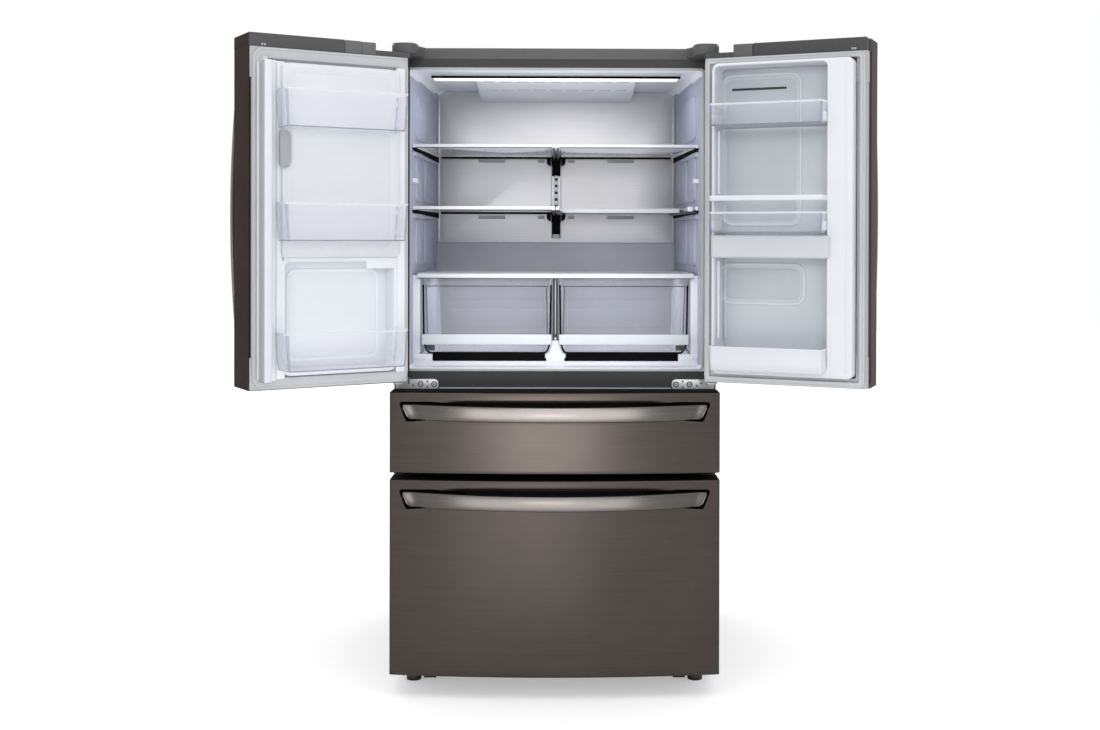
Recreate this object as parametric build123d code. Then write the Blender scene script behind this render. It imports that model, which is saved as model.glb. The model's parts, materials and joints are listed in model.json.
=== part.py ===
from build123d import *
import os
from math import cos, sin, radians, pi

# French door refrigerator with two drawers below, both doors standing open.
# Working frame: X right, Y away from the viewer with Y = 0 on the cabinet's front plane, Z up from the floor.
# Every solid is moved by Y_SHIFT at the end, so the origin is at the bottom centre of the whole object.
Y_SHIFT = -180.0

# ---- cabinet ----
HALF_W = 451.0        # half width of the cabinet
DEPTH = 738.0         # cabinet depth behind the front plane
BASE_Z = 40.0         # underside of the base pan
CASE_TOP = 1749.0     # top of the case
COVER_TOP = 1785.0    # top of the hinge covers
SHEET = 1.5           # sheet thickness of the case
LINER_T = 2.0
CAV_FRONT = 416.0     # half width of the fridge cavity at its mouth
CAV_BACK = 386.0      # and at its back wall
CAV_Y = 650.0
CAV_Z0, CAV_Z1 = 880.0, 1727.0
MID_Z0, MID_Z1, MID_Y = 628.0, 806.0, 560.0
FRZ_Z0, FRZ_Z1, FRZ_Y = 100.0, 570.0, 500.0
MACHINE_Y, MACHINE_Z = 520.0, 250.0

# ---- doors and drawer fronts ----
FRONT_HALF = 450.0    # half width across the fronts
BOW_EDGE, BOW_MID = -112.0, -140.0   # front surface at the sides and at the centre
DOOR_BACK = -14.0     # inner plane of doors and drawer fronts
DOOR_GAP = 3.0        # half the gap between the two doors
DOOR_Z0, DOOR_Z1 = 860.0, 1775.0
CAP_LOW, CAP_TOP = 12.0, 35.0        # heights of the door end caps
SKIN = 1.2
AXIS_X, AXIS_Y = 436.0, -70.0        # hinge axes
OPEN_L, OPEN_R = 149.0, 156.0        # door angles as pictured
PIN_R, PIN_BORE = 5.0, 5.06
SPLIT_Y = -52.0       # back plane of the right outer door
MID_FRONT = (613.0, 832.0)
FRZ_FRONT = (62.0, 594.0)
HANDLE_OUT = 48.0     # how far the bowed drawer handles stand out
DOOR_HANDLE_OUT = 60.0               # and the door handles
LOW_CAP = 1754.0      # top of the door end caps beside the hinge covers
STEP_L, STEP_R = 350.0, 366.0        # where those low parts begin
SHELF_FRONT = 88.0
SHELF_BACK = 588.0
SHELF1, SHELF2, COVER_SHELF = (1507.0, 1521.0), (1328.0, 1343.0), (1136.0, 1149.0)

NODES = {}


def bx(x0, x1, y0, y1, z0, z1):
    return Pos((x0 + x1) / 2, (y0 + y1) / 2, (z0 + z1) / 2) * Box(abs(x1 - x0), abs(y1 - y0), abs(z1 - z0))


def cyl(x, y, z0, z1, r):
    return Pos(x, y, (z0 + z1) / 2) * Cylinder(r, z1 - z0)


def cyl_y(x, z, y0, y1, r):
    return Pos(x, (y0 + y1) / 2, z) * Rot(90, 0, 0) * Cylinder(r, y1 - y0)


def cyl_x(y, z, x0, x1, r):
    return Pos((x0 + x1) / 2, y, z) * Rot(0, 90, 0) * Cylinder(r, x1 - x0)


def prism(points, z0, z1):
    face = make_face(Polyline(*[(x, y, z0) for x, y in points], close=True))
    return extrude(face, amount=z1 - z0, dir=(0, 0, 1))


def bow(z0, z1, off=0.0, back=60.0):
    """Everything behind the bowed front surface, moved back by off."""
    w = 500.0
    k = (BOW_EDGE - BOW_MID) / FRONT_HALF ** 2
    e = BOW_MID + k * w * w + off
    arc = ThreePointArc((-w, e, z0), (0, BOW_MID + off, z0), (w, e, z0))
    rest = Polyline((w, e, z0), (w, back, z0), (-w, back, z0), (-w, e, z0))
    return extrude(make_face([arc, rest]), amount=z1 - z0, dir=(0, 0, 1))


def front(x0, x1, z0, z1, y1, off=0.0):
    """A slab between the bowed front surface and the plane Y = y1."""
    return bow(z0, z1, off) & bx(x0, x1, -200, y1, z0, z1)


def tub(x0, x1, y0, y1, z0, z1, t):
    """An open-topped box with walls t thick."""
    return bx(x0, x1, y0, y1, z0, z1) - bx(x0 + t, x1 - t, y0 + t, y1 - t, z0 + t, z1 + 5)


def tray(x0, x1, y0, y1, z0, z1, t):
    """A door bin, open at the top and at the back (low Y)."""
    return bx(x0, x1, y0, y1, z0, z1) - bx(x0 + t, x1 - t, y0 - 5, y1 - t, z0 + t, z1 + 5)


def ring_y(x0, x1, z0, z1, w, y0, y1):
    return bx(x0, x1, y0, y1, z0, z1) - bx(x0 + w, x1 - w, y0 - 5, y1 + 5, z0 + w, z1 - w)


def mx(s):
    return s.mirror(Plane.YZ)


def cav_x(y):
    return CAV_FRONT + (CAV_BACK - CAV_FRONT) * y / CAV_Y


def put(name, *shapes):
    solids = []
    for s in shapes:
        solids += list(s.solids())
    NODES[name] = solids


# =====================================================================
# cabinet
# =====================================================================
case = [
    bx(-HALF_W, -HALF_W + SHEET, SHEET, DEPTH, BASE_Z + 4, CASE_TOP),
    bx(HALF_W - SHEET, HALF_W, SHEET, DEPTH, BASE_Z + 4, CASE_TOP),
    bx(-HALF_W + SHEET, HALF_W - SHEET, SHEET, DEPTH, CASE_TOP - SHEET, CASE_TOP),
]

IN_W = HALF_W - SHEET
back_sheet = bx(-IN_W, IN_W, DEPTH - SHEET, DEPTH, 262, CASE_TOP - SHEET)
vent_cover = bx(-IN_W, IN_W, DEPTH - SHEET, DEPTH, BASE_Z + 4, 262)
for i in range(14):
    for side in (-1, 1):
        x = side * (60 + i * 18)
        vent_cover -= bx(x - 3, x + 3, DEPTH - 10, DEPTH + 10, 110, 210)
INLET = (372.0, 150.0)
GLAND = (-372.0, 150.0)
vent_cover -= cyl_y(INLET[0], INLET[1], DEPTH - 10, DEPTH + 10, 14)
vent_cover -= cyl_y(GLAND[0], GLAND[1], DEPTH - 10, DEPTH + 10, 11)
BACK_SCREWS = [(x, z) for x in (-430, 0, 430) for z in (70, 240)]
for x, z in BACK_SCREWS:
    vent_cover -= cyl_y(x, z, DEPTH - 10, DEPTH + 10, 2.6)
put("back_panels", back_sheet, vent_cover)

pan = bx(-HALF_W, HALF_W, SHEET, DEPTH, BASE_Z, BASE_Z + 4)
ROLL_Y, ROLL_Z = 690.0, 17.0
for side in (-1, 1):
    for x in (320, 362):
        ear = bx(side * x - 3, side * x + 3, ROLL_Y - 12, ROLL_Y + 12, 8, BASE_Z)
        pan += ear
pan -= cyl_x(ROLL_Y, ROLL_Z, -400, 400, 4.05)
put("base_pan", pan)
wheels = cyl_x(ROLL_Y, ROLL_Z, -366, 366, 4.0)
for side in (-1, 1):
    wheels += cyl_x(ROLL_Y, ROLL_Z, side * 341 - 13, side * 341 + 13, ROLL_Z)
put("rear_rollers", wheels)

feet = []
for side in (-1, 1):
    x = side * 399
    f = cyl(x, 45, 0, 16, 21) + cyl(x, 45, 16, BASE_Z, 6)
    feet.append(f)
    feet.append(bx(side * 335, side * 370, 30, 62, 7, BASE_Z))
put("front_feet", *feet)


def cavity(grow):
    a, b = CAV_FRONT + grow, CAV_BACK + grow
    return prism([(-a, 0), (a, 0), (b, CAV_Y + grow), (-b, CAV_Y + grow)], CAV_Z0 - grow, CAV_Z1 + grow)


fridge_in = prism([(-cav_x(-10), -10), (cav_x(-10), -10), (CAV_BACK, CAV_Y), (-CAV_BACK, CAV_Y)], CAV_Z0, CAV_Z1)
fridge_out = cavity(LINER_T)
put("fridge_liner", fridge_out - fridge_in - bx(-500, 500, -20, SHEET, 0, 2000))
LW = CAV_FRONT
mid_out = bx(-LW - 2, LW + 2, SHEET, MID_Y + 2, MID_Z0 - 2, MID_Z1 + 2)
frz_out = bx(-LW - 2, LW + 2, SHEET, FRZ_Y + 2, FRZ_Z0 - 2, FRZ_Z1 + 2)
put("lower_liner",
    mid_out - bx(-LW, LW, -10, MID_Y, MID_Z0, MID_Z1),
    frz_out - bx(-LW, LW, -10, FRZ_Y, FRZ_Z0, FRZ_Z1))

foam = bx(-IN_W, IN_W, SHEET, DEPTH - SHEET, BASE_Z + 4, CASE_TOP - SHEET)
foam = foam - fridge_out - mid_out - frz_out
foam -= bx(-IN_W, IN_W, MACHINE_Y, DEPTH, BASE_Z + 4, MACHINE_Z)
put("cabinet_foam", foam)

OPEN_X = CAV_FRONT + LINER_T
case += [
    bx(-HALF_W, -OPEN_X, 0, SHEET, BASE_Z, CASE_TOP + 4),
    bx(OPEN_X, HALF_W, 0, SHEET, BASE_Z, CASE_TOP + 4),
    bx(-OPEN_X, OPEN_X, 0, SHEET, CAV_Z1 + LINER_T, CASE_TOP + 4),
    bx(-OPEN_X, OPEN_X, 0, SHEET, MID_Z1 + 2, CAV_Z0 - LINER_T),
    bx(-OPEN_X, OPEN_X, 0, SHEET, FRZ_Z1 + 2, MID_Z0 - 2),
    bx(-OPEN_X, OPEN_X, 0, SHEET, BASE_Z, FRZ_Z0 - 2),
]
put("case_panels", *case)

# top cover strip and the two hinge covers
COVER_X = 330.0
strip = bx(-COVER_X, COVER_X, 0, 64, CASE_TOP + 4, COVER_TOP) + bx(-COVER_X, COVER_X, SHEET, 64, CASE_TOP, CASE_TOP + 4)
covers = [strip]
HINGE_IN = 398.0
for side in (-1, 1):
    # a hollow cover over the hinge bracket
    c = bx(-450, -COVER_X, 0, 112, CASE_TOP + 4, COVER_TOP) + bx(-450, -COVER_X, SHEET, 112, CASE_TOP, CASE_TOP + 4)
    c += bx(-450, -380, -96, 0, LOW_CAP + 2, COVER_TOP)                # lobe over the hinge arm
    c -= bx(-448, -HINGE_IN + 4, -94, 88, CASE_TOP - 5, COVER_TOP - 3)
    covers.append(c if side < 0 else mx(c))
put("top_covers", *covers)

# hinges: upper arms with pins pointing down, lower brackets with pins pointing up
hinges = []
upper = bx(-447, -HINGE_IN, 4, 84, CASE_TOP, 1782) + bx(-447, -412, -86, 4, 1777, 1782)
upper += cyl(-AXIS_X, AXIS_Y, 1741, 1777, PIN_R)
lower = bx(-446, -327, -3, 0, 826, 856) + bx(-446, -414, -86, -3, 851, 856)
lower += cyl(-AXIS_X, AXIS_Y, 856, 881, PIN_R)
LOW_SCREWS = [(-377.0, 842.0), (-339.0, 842.0)]
for x, z in LOW_SCREWS:
    lower -= cyl_y(x, z, -5, 5, 2.6)
hinges += [upper, mx(upper), lower, mx(lower)]
put("door_hinges", *hinges)

screws = []
for x, z in LOW_SCREWS:
    for side in (-1, 1):
        s = cyl_y(x, z, -5.4, -3, 5.2) + cyl_y(x, z, -3, -0.05, 2.5)
        s -= bx(x - 3, x + 3, -6, -4.4, z - 0.6, z + 0.6)
        s -= bx(x - 0.6, x + 0.6, -6, -4.4, z - 3, z + 3)
        screws.append(s if side < 0 else mx(s))
for x, z in BACK_SCREWS:
    screws.append(cyl_y(x, z, DEPTH, DEPTH + 2.2, 5) + cyl_y(x, z, DEPTH - SHEET + 0.05, DEPTH, 2.5))
put("screws", *screws)

# ---- machine space ----
comp = fillet(cyl(230, 640, 62, 214, 78).edges(), 26) + bx(130, 330, 590, 690, 56, 62)
for x in (145, 315):
    for y in (602, 678):
        comp += cyl(x, y, BASE_Z + 4, 56, 11)
put("compressor", comp)
cond = bx(-330, -200, 560, 700, 60, 200)
for i in range(12):
    cond -= bx(-325 + i * 10.5, -319 + i * 10.5, 550, 690, 66, 194)
cond += bx(-200, -192, 570, 690, BASE_Z + 4, 196) + bx(-330, -200, 596, 690, BASE_Z + 4, 60)
FAN_Y, FAN_Z = 630.0, 126.0
cond += cyl_x(FAN_Y, FAN_Z, -192, -150, 4.0)
evap = bx(-240, 240, 612, 644, 940, 1180)
for i in range(22):
    evap -= bx(-232 + i * 21.4, -218 + i * 21.4, 605, 640, 950, 1170)
evap += bx(-240, -200, 644, CAV_Y, 1000, 1020) + bx(200, 240, 644, CAV_Y, 1000, 1020)
put("heat_exchangers", cond, evap)

# evaporator fan turns on a shaft behind the duct panel; condenser fan on one beside the condenser
EF_Z = 1400.0
def fan(r_out, depth):
    f = Cylinder(16, depth)
    for i in range(5):
        f += Rot(0, 0, 72 * i) * Pos((r_out + 10) / 2, 0, 0) * Rot(28, 0, 0) * Box(r_out - 10, depth * 0.8, 2.2)
    f -= Cylinder(4.05, depth * 3)
    return f
put("evaporator_fan", Pos(0, 627, EF_Z) * Rot(90, 0, 0) * fan(62, 22))
put("condenser_fan", Pos(-168, FAN_Y, FAN_Z) * Rot(0, 90, 0) * fan(56, 24))

# water inlet valve and cord gland, both just inside the rear cover
valve = bx(INLET[0] - 24, INLET[0] + 24, 676, 712, INLET[1] - 20, INLET[1] + 20)
valve += cyl_y(*INLET, 712, 734, 8.0) + cyl_y(*INLET, 734, 752, 5.55)
valve += bx(INLET[0] - 24, INLET[0] + 24, 680, 700, BASE_Z + 4, INLET[1] - 20)
gland = cyl_y(*GLAND, DEPTH - SHEET - 8, DEPTH + 8, 10.9) + cyl_y(*GLAND, DEPTH, DEPTH + 4, 16)
gland -= cyl_y(*GLAND, 700, 800, 4.2)
put("service_inlets", valve, gland)

# =====================================================================
# cavity fittings
# =====================================================================
PANEL_Y = 600.0
px = cav_x(PANEL_Y + 5) - 0.4
duct = bx(-px, px, PANEL_Y, PANEL_Y + 4, 1236, CAV_Z1)
for z0, z1 in ((1496, 1506), (1313, 1324)):
    for x0, x1 in ((-253, -166), (-60, -38), (38, 60), (166, 253)):
        duct -= bx(x0, x1, PANEL_Y - 5, PANEL_Y + 10, z0, z1)
duct += cyl_y(0, EF_Z, PANEL_Y + 4, PANEL_Y + 42, 4.0)
put("duct_panels", duct, bx(-px, px, PANEL_Y, PANEL_Y + 4, CAV_Z0, 1236))
ladder = bx(-16, 16, 590, PANEL_Y, 1251, 1538)
for z in range(1262, 1530, 22):
    ladder -= bx(-4, 4, 585, 597, z, z + 12)
put("shelf_ladder", ladder)
put("light_bar", bx(-360, 360, 108, 200, 1714, CAV_Z1))

# shelves: panes with a front trim and side arms, split at the centre
glass, trims = [], []
ARM = 9.0


def half_shelf(z0, z1, side, wall_f, wall_b, y_pane0=SHELF_FRONT + 12):
    pane_z = (z1 - 6, z1 - 2)
    a, b = wall_f, wall_b
    arm = prism([(-a, SHELF_FRONT), (-a + ARM, SHELF_FRONT), (-b + ARM, SHELF_BACK), (-b, SHELF_BACK)], z0, z1)
    inner = bx(-ARM - 1.5, -1.5, SHELF_FRONT, SHELF_BACK, z0, z1)
    slope = (a - b) / (SHELF_BACK - SHELF_FRONT)
    bar = prism([(-a + ARM + slope * 0, SHELF_FRONT), (-ARM - 1.5, SHELF_FRONT), (-ARM - 1.5, SHELF_FRONT + 12),
                 (-a + ARM + slope * 12, SHELF_FRONT + 12)], z0, z1)
    p0 = y_pane0 - SHELF_FRONT
    pane = prism([(-a + ARM + slope * p0, y_pane0), (-ARM - 1.5, y_pane0), (-ARM - 1.5, SHELF_BACK),
                  (-b + ARM, SHELF_BACK)], *pane_z)
    out = [arm, inner, bar, pane]
    return out if side < 0 else [mx(s) for s in out]


wf, wb = cav_x(SHELF_FRONT) - 0.6, cav_x(SHELF_BACK) - 0.6
for z, side in ((SHELF1, -1), (SHELF1, 1), (SHELF2, -1)):
    arm, inner, bar, pane = half_shelf(*z, side, wf, wb)
    trims += [arm, inner, bar]
    glass.append(pane)
# shelf 2 right: a fixed rear half, and a front half that slides under it
arm, inner, bar, pane = half_shelf(*SHELF2, 1, wf, wb, y_pane0=344)
trims += [arm, inner]
glass.append(pane)
SL_Y0, SL_Y1 = 332.0, 572.0
slide_x1 = cav_x(SL_Y1 + 16) - 0.6 - ARM - 0.8
slide_bar = bx(12, slide_x1, SL_Y0, SL_Y0 + 11, 1328.6, 1343)
slide_pane = bx(12, slide_x1, SL_Y0 + 11, SL_Y1, 1328.6, 1332.6)
trims.append(bx(1.5, 20, 92, 586, 1324, 1328))
trims.append(prism([(368, 92), (cav_x(92) - 0.6, 92), (cav_x(586) - 0.6, 586), (368, 586)], 1324, 1328))
put("slide_shelf", slide_bar + slide_pane)
SLIDE_TRAVEL = 240.0

# crisper cover: one wide pane on a frame that rests on the centre post and side rails
cw_f, cw_b = cav_x(SHELF_FRONT) - 14, cav_x(SHELF_BACK) - 4
z0, z1 = COVER_SHELF
trims.append(prism([(-cw_f, SHELF_FRONT), (cw_f, SHELF_FRONT), (cw_f - 0.3, SHELF_FRONT + 12), (-cw_f + 0.3, SHELF_FRONT + 12)], z0, z1))
glass.append(prism([(-cw_f + 0.3, SHELF_FRONT + 12), (cw_f - 0.3, SHELF_FRONT + 12), (cw_b, SHELF_BACK), (-cw_b, SHELF_BACK)], z1 - 5, z1))
put("shelf_glass", *glass)
put("shelf_trims", *trims)

# rails and centre post for the crispers
CR_Y0, CR_Y1 = 100.0, 562.0
CR_Z0, CR_Z1 = 918.0, 1131.0
CR_IN, CR_OUT = 11.0, 382.0
post = bx(-8, 8, 104, 580, CAV_Z0, COVER_SHELF[1] - 5)
ledge_l = prism([(-cav_x(104), 104), (-372, 104), (-372, 580), (-cav_x(580), 580)], 904, 917)
lip_l = prism([(-cav_x(104), 104), (-390, 104), (-390, 110), (-cav_x(110), 110)], 917, COVER_SHELF[1] - 5)
foot_ledge = bx(-30, -8, 104, 580, 904, 917)
base = bx(-370, 370, 112, 580, CAV_Z0, 884)
side_l = ledge_l
crail = post + foot_ledge + mx(foot_ledge) + base
put("crisper_rails", crail, ledge_l + lip_l, mx(ledge_l + lip_l))


def crisper(side):
    c = tub(-CR_OUT, -CR_IN, CR_Y0, CR_Y1, CR_Z0, CR_Z1, 3.0)
    h = bx(-CR_OUT, -CR_IN, 82, 86, 946, 974) + bx(-CR_OUT, -CR_IN, 86, CR_Y0, 969, 974)
    for x in (-CR_OUT, -CR_IN - 4):
        h += bx(x, x + 4, 86, CR_Y0, 946, 969)
    s = bx(-372, -346, 91, 99.4, 928, 943) - bx(-362, -356, 80, 95, 934, 938)
    return (c, h, s) if side < 0 else (mx(c), mx(h), mx(s))


for side, name in ((-1, "left"), (1, "right")):
    c, h, s = crisper(side)
    put("crisper_" + name, c)
    put("crisper_%s_handle" % name, h)
    put("humidity_slider_" + name, s)

# =====================================================================
# drawers
# =====================================================================
def bowed_handle(z0, z1, body):
    """A bar that rises out of the front surface at both ends."""
    yo = BOW_MID - HANDLE_OUT
    outer = ThreePointArc((-418, BOW_EDGE + 6, z0), (0, yo, z0), (418, BOW_EDGE + 6, z0))
    inner = ThreePointArc((388, BOW_EDGE + 6, z0), (0, yo + 15, z0), (-388, BOW_EDGE + 6, z0))
    a = Line((418, BOW_EDGE + 6, z0), (388, BOW_EDGE + 6, z0))
    b = Line((-388, BOW_EDGE + 6, z0), (-418, BOW_EDGE + 6, z0))
    bar = extrude(make_face([outer, a, inner, b]), amount=z1 - z0, dir=(0, 0, 1))
    return bar - body


def drawer(name, z, hz, bin_box, gask, rail_z):
    body = front(-FRONT_HALF, FRONT_HALF, z[0], z[1], DOOR_BACK)
    put(name + "_front", body)
    put(name + "_handle", bowed_handle(hz[0], hz[1], front(-FRONT_HALF, FRONT_HALF, hz[0] - 1, hz[1] + 1, DOOR_BACK)))
    b = tub(-398, 398, DOOR_BACK, bin_box[0], bin_box[1], bin_box[2], 3.0)
    for side in (-1, 1):
        b += bx(side * 398, side * 404, 8, bin_box[0] - 20, rail_z, rail_z + 16)
    put(name + "_bin", b)
    put(name + "_gasket", ring_y(-436, 436, gask[0], gask[1], 13.0, DOOR_BACK, -2))


drawer("mid_drawer", MID_FRONT, (758, 800), (530, 640, 786), (615, 823), 700)
drawer("freezer_drawer", FRZ_FRONT, (520, 562), (470, 118, 470), (84, 590), 330)
rl = []
for side in (-1, 1):
    rl.append(bx(side * 405, side * LW, 4, MID_Y - 5, 696, 720))
    rl.append(bx(side * 405, side * LW, 4, FRZ_Y - 5, 326, 350))
put("drawer_rails", *rl)

# =====================================================================
# left door (modelled closed, then swung open)
# =====================================================================
LX0, LX1 = -FRONT_HALF, -DOOR_GAP
ZC0, ZC1 = DOOR_Z0 + CAP_LOW, DOOR_Z1 - CAP_TOP
skin = front(LX0, LX1, ZC0, ZC1, DOOR_BACK) - front(LX0 + SKIN, LX1 - SKIN, ZC0 - 5, ZC1 + 5, 0, SKIN)
DSP = (-330.0, -130.0, 1000.0, 1340.0, -78.0)     # dispenser recess: x0, x1, z0, z1, back
skin -= bx(DSP[0], DSP[1], -200, -100, DSP[2], DSP[3])
put("left_door_skin", skin)


def caps(x0, x1, y1):
    out = []
    for z0, z1 in ((DOOR_Z0, ZC0), (ZC1, DOOR_Z1)):
        c = front(x0, x1, z0, z1, y1)
        c -= cyl(-AXIS_X if x0 < 0 else AXIS_X, AXIS_Y, z0 - 5, z1 + 5, PIN_BORE)
        if z0 > 1000:
            side, step = (-1, STEP_L) if x0 < 0 else (1, STEP_R)
            c -= bx(side * step, side * 460, -200, y1 + 5, LOW_CAP, z1 + 5)
            if side > 0:
                c -= bx(405, 448, -96, SPLIT_Y + 5, 1744, 1752.5)    # room for the inner frame's hinge ear
        out.append(c)
    return out


put("left_door_caps", *caps(LX0, LX1, DOOR_BACK))
core = front(LX0 + SKIN, LX1 - SKIN, ZC0, ZC1, DOOR_BACK, SKIN)
core += bx(-412, -82, DOOR_BACK, -2, 1196, 1704)                     # ice compartment rim
core -= bx(-398, -96, -62, 0, 1214, 1690)                            # ice compartment
core += bx(-410, -84, DOOR_BACK, 0, 894, 1196)                       # lower dyke
core -= bx(-398, -96, -60, 5, 906, 1190)                             # lower recess
core -= bx(DSP[0], DSP[1], -200, DSP[4], DSP[2], DSP[3])
core -= cyl(-AXIS_X, AXIS_Y, ZC0 - 1, 884, 8)
put("left_door_liner", core)
put("left_door_gasket", ring_y(-444, -7, 861, 1740, 12.0, DOOR_BACK, -2))


def door_handle(x0, x1, z0, z1, body):
    yo = BOW_MID - DOOR_HANDLE_OUT
    zm = (z0 + z1) / 2
    yb = BOW_MID + 6
    outer = ThreePointArc((x0, yb, z0), (x0, yo, zm), (x0, yb, z1))
    inner = ThreePointArc((x0, yb, z1 - 34), (x0, yo + 15, zm), (x0, yb, z0 + 34))
    a = Line((x0, yb, z1), (x0, yb, z1 - 34))
    b = Line((x0, yb, z0 + 34), (x0, yb, z0))
    return extrude(make_face([outer, a, inner, b]), amount=x1 - x0, dir=(1, 0, 0)) - body


HZ = (930.0, 1690.0)
put("left_door_handle", door_handle(-53, -11, *HZ, front(LX0, LX1, ZC0, ZC1, DOOR_BACK)))
BIN_Y = 82.0
put("left_door_bin", tray(-405, -68, 0.4, BIN_Y, 912, 1010, 3.0))
ICE_Y0, ICE_Y1 = -1.5, 6.5
put("ice_door", bx(-411, -84, ICE_Y0, ICE_Y1, 1200, 1700))
put("ice_door_bins", tray(-405, -66, ICE_Y1, BIN_Y, 1532, 1631, 3.0), tray(-405, -66, ICE_Y1, BIN_Y, 1243, 1341, 3.0))
latch = bx(-105, -75, ICE_Y1 + 0.4, 16, 1432, 1526) - bx(-91, -69, 0, 12, 1445, 1513)
put("ice_latch", latch)
put("ice_bucket", tub(-392, -102, -58, -6, 1214, 1420, 3.0))
mullion = bx(-40, -19, 0, 60, 884, 1698) + cyl(-29.5, 34, 1698, 1708, 6)
put("flip_mullion", mullion)

# dispenser: housing with a control panel above the bay, and a paddle
dx0, dx1, dz0, dz1, dyb = DSP
house = front(dx0, dx1, dz0, dz1, dyb) - front(dx0 + 3, dx1 - 3, dz0 + 8, dz1 - 82, dyb - 3, -40)
house = house & front(dx0, dx1, dz0, dz1, dyb)
PAD_Z = 1236.0
PAD_Y = -100.0
house += cyl_x(PAD_Y, PAD_Z, dx0 + 2, dx1 - 2, 3.0)
house += bx(-244, -216, -122, dyb - 2, 1250, 1260)
for x in (-262, -198):
    house += bx(x - 3, x + 3, PAD_Y - 6, dyb - 2, PAD_Z - 6, PAD_Z + 8)
put("dispenser_housing", house)
paddle = bx(-252, -208, PAD_Y - 2.5, PAD_Y + 2.5, 1120, PAD_Z) + cyl_x(PAD_Y, PAD_Z, -252, -208, 5.5)
paddle -= cyl_x(PAD_Y, PAD_Z, -260, -200, 3.06)
put("dispenser_paddle", paddle)

# =====================================================================
# right door: an inner carrier frame with its own seal, and an outer door on the same pins
# =====================================================================
RX0, RX1 = DOOR_GAP, FRONT_HALF
BTN = (30.0, 54.0, 880.0, 904.0)
skin = front(RX0, RX1, ZC0, ZC1, SPLIT_Y) - front(RX0 + SKIN, RX1 - SKIN, ZC0 - 5, ZC1 + 5, 0, SKIN)
skin -= bx(BTN[0] - 0.5, BTN[1] + 0.5, -200, -120, BTN[2] - 0.5, BTN[3] + 0.5)
put("right_door_skin", skin)
put("right_door_caps", *caps(RX0, RX1, SPLIT_Y))
panel = front(RX0 + SKIN, RX1 - SKIN, ZC0, ZC1, SPLIT_Y, SKIN)
panel -= bx(BTN[0] - 0.5, BTN[1] + 0.5, -200, -124, BTN[2] - 0.5, BTN[3] + 0.5)
panel -= bx(405, 448, -96, SPLIT_Y + 5, ZC0 - 1, 883)
put("right_door_panel", panel)
put("right_door_handle", door_handle(11, 53, *HZ, front(RX0, RX1, ZC0, ZC1, SPLIT_Y)))
put("release_button", bx(BTN[0], BTN[1], -145, -133, BTN[2], BTN[3]))

FR_Y0 = -50.0
frame = bx(8, 432, FR_Y0, DOOR_BACK, 862, DOOR_Z1) + bx(432, 444, -44, DOOR_BACK, 862, DOOR_Z1)
frame -= bx(STEP_R, 460, -100, 0, LOW_CAP, DOOR_Z1 + 5)
frame += bx(34, 414, DOOR_BACK, 30, 890, 1722)
frame -= bx(100, 404, -80, 60, 905, 1712)
for z0 in (874.5, 1745.5):
    z1 = z0 + 5.5
    frame += cyl(AXIS_X, AXIS_Y, z0, z1, 9) + bx(426, 434, AXIS_Y, -40, z0, z1)
    frame -= cyl(AXIS_X, AXIS_Y, z0 - 1, z1 + 1, PIN_BORE)
put("right_frame", frame)
put("right_door_gasket", ring_y(8, 444, 864, 1740, 12.0, DOOR_BACK, -2) - bx(34, 414, -20, 10, 890, 1722))
rb = [
    tray(100, 404, -44, BIN_Y, 1549, 1608, 3.0),
    tray(100, 404, -44, BIN_Y, 1267, 1322, 3.0),
    tray(100, 404, -44, BIN_Y, 905, 968, 3.0),
]
put("right_door_bins", *rb)
bin_rail = bx(100, 404, 76, BIN_Y, 1351, 1365) + bx(100, 108, -44, 76, 1351, 1365) + bx(396, 404, -44, 76, 1351, 1365)
put("right_crossbars", bin_rail, bx(100, 404, -20, 44, 1199, 1262))

# =====================================================================
# pose the doors, shift and write
# =====================================================================
LEFT = ["left_door_skin", "left_door_caps", "left_door_liner", "left_door_gasket", "left_door_handle", "left_door_bin",
        "ice_door", "ice_door_bins", "ice_latch", "ice_bucket", "flip_mullion", "dispenser_housing", "dispenser_paddle"]
RIGHT = ["right_door_skin", "right_door_caps", "right_door_panel", "right_door_handle", "release_button", "right_frame",
         "right_door_gasket", "right_door_bins", "right_crossbars"]
swing_l = Pos(-AXIS_X, AXIS_Y, 0) * Rot(0, 0, -OPEN_L) * Pos(AXIS_X, -AXIS_Y, 0)
swing_r = Pos(AXIS_X, AXIS_Y, 0) * Rot(0, 0, OPEN_R) * Pos(-AXIS_X, -AXIS_Y, 0)

os.makedirs("parts", exist_ok=True)
for old in os.listdir("parts"):
    if old.endswith(".step") and old[:-5] not in NODES:
        os.remove(os.path.join("parts", old))
lo, hi = [1e9] * 3, [-1e9] * 3
for name, solids in NODES.items():
    place = Pos(0, Y_SHIFT, 0)
    if name in LEFT:
        place = place * swing_l
    if name in RIGHT:
        place = place * swing_r
    out = [place * s for s in solids]
    for s in out:
        b = s.bounding_box()
        for i, (l, h) in enumerate(((b.min.X, b.max.X), (b.min.Y, b.max.Y), (b.min.Z, b.max.Z))):
            lo[i], hi[i] = min(lo[i], l), max(hi[i], h)
    shape = out[0] if len(out) == 1 else Compound(children=out)
    export_step(shape, os.path.join("parts", name + ".step"))
print(len(NODES), "nodes, box", [round(v, 1) for v in lo], [round(v, 1) for v in hi],
      "centre", [round((a + b) / 2, 2) for a, b in zip(lo, hi)])
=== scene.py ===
import json
import math

import bpy
import bmesh
from mathutils import Matrix, Vector

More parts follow.
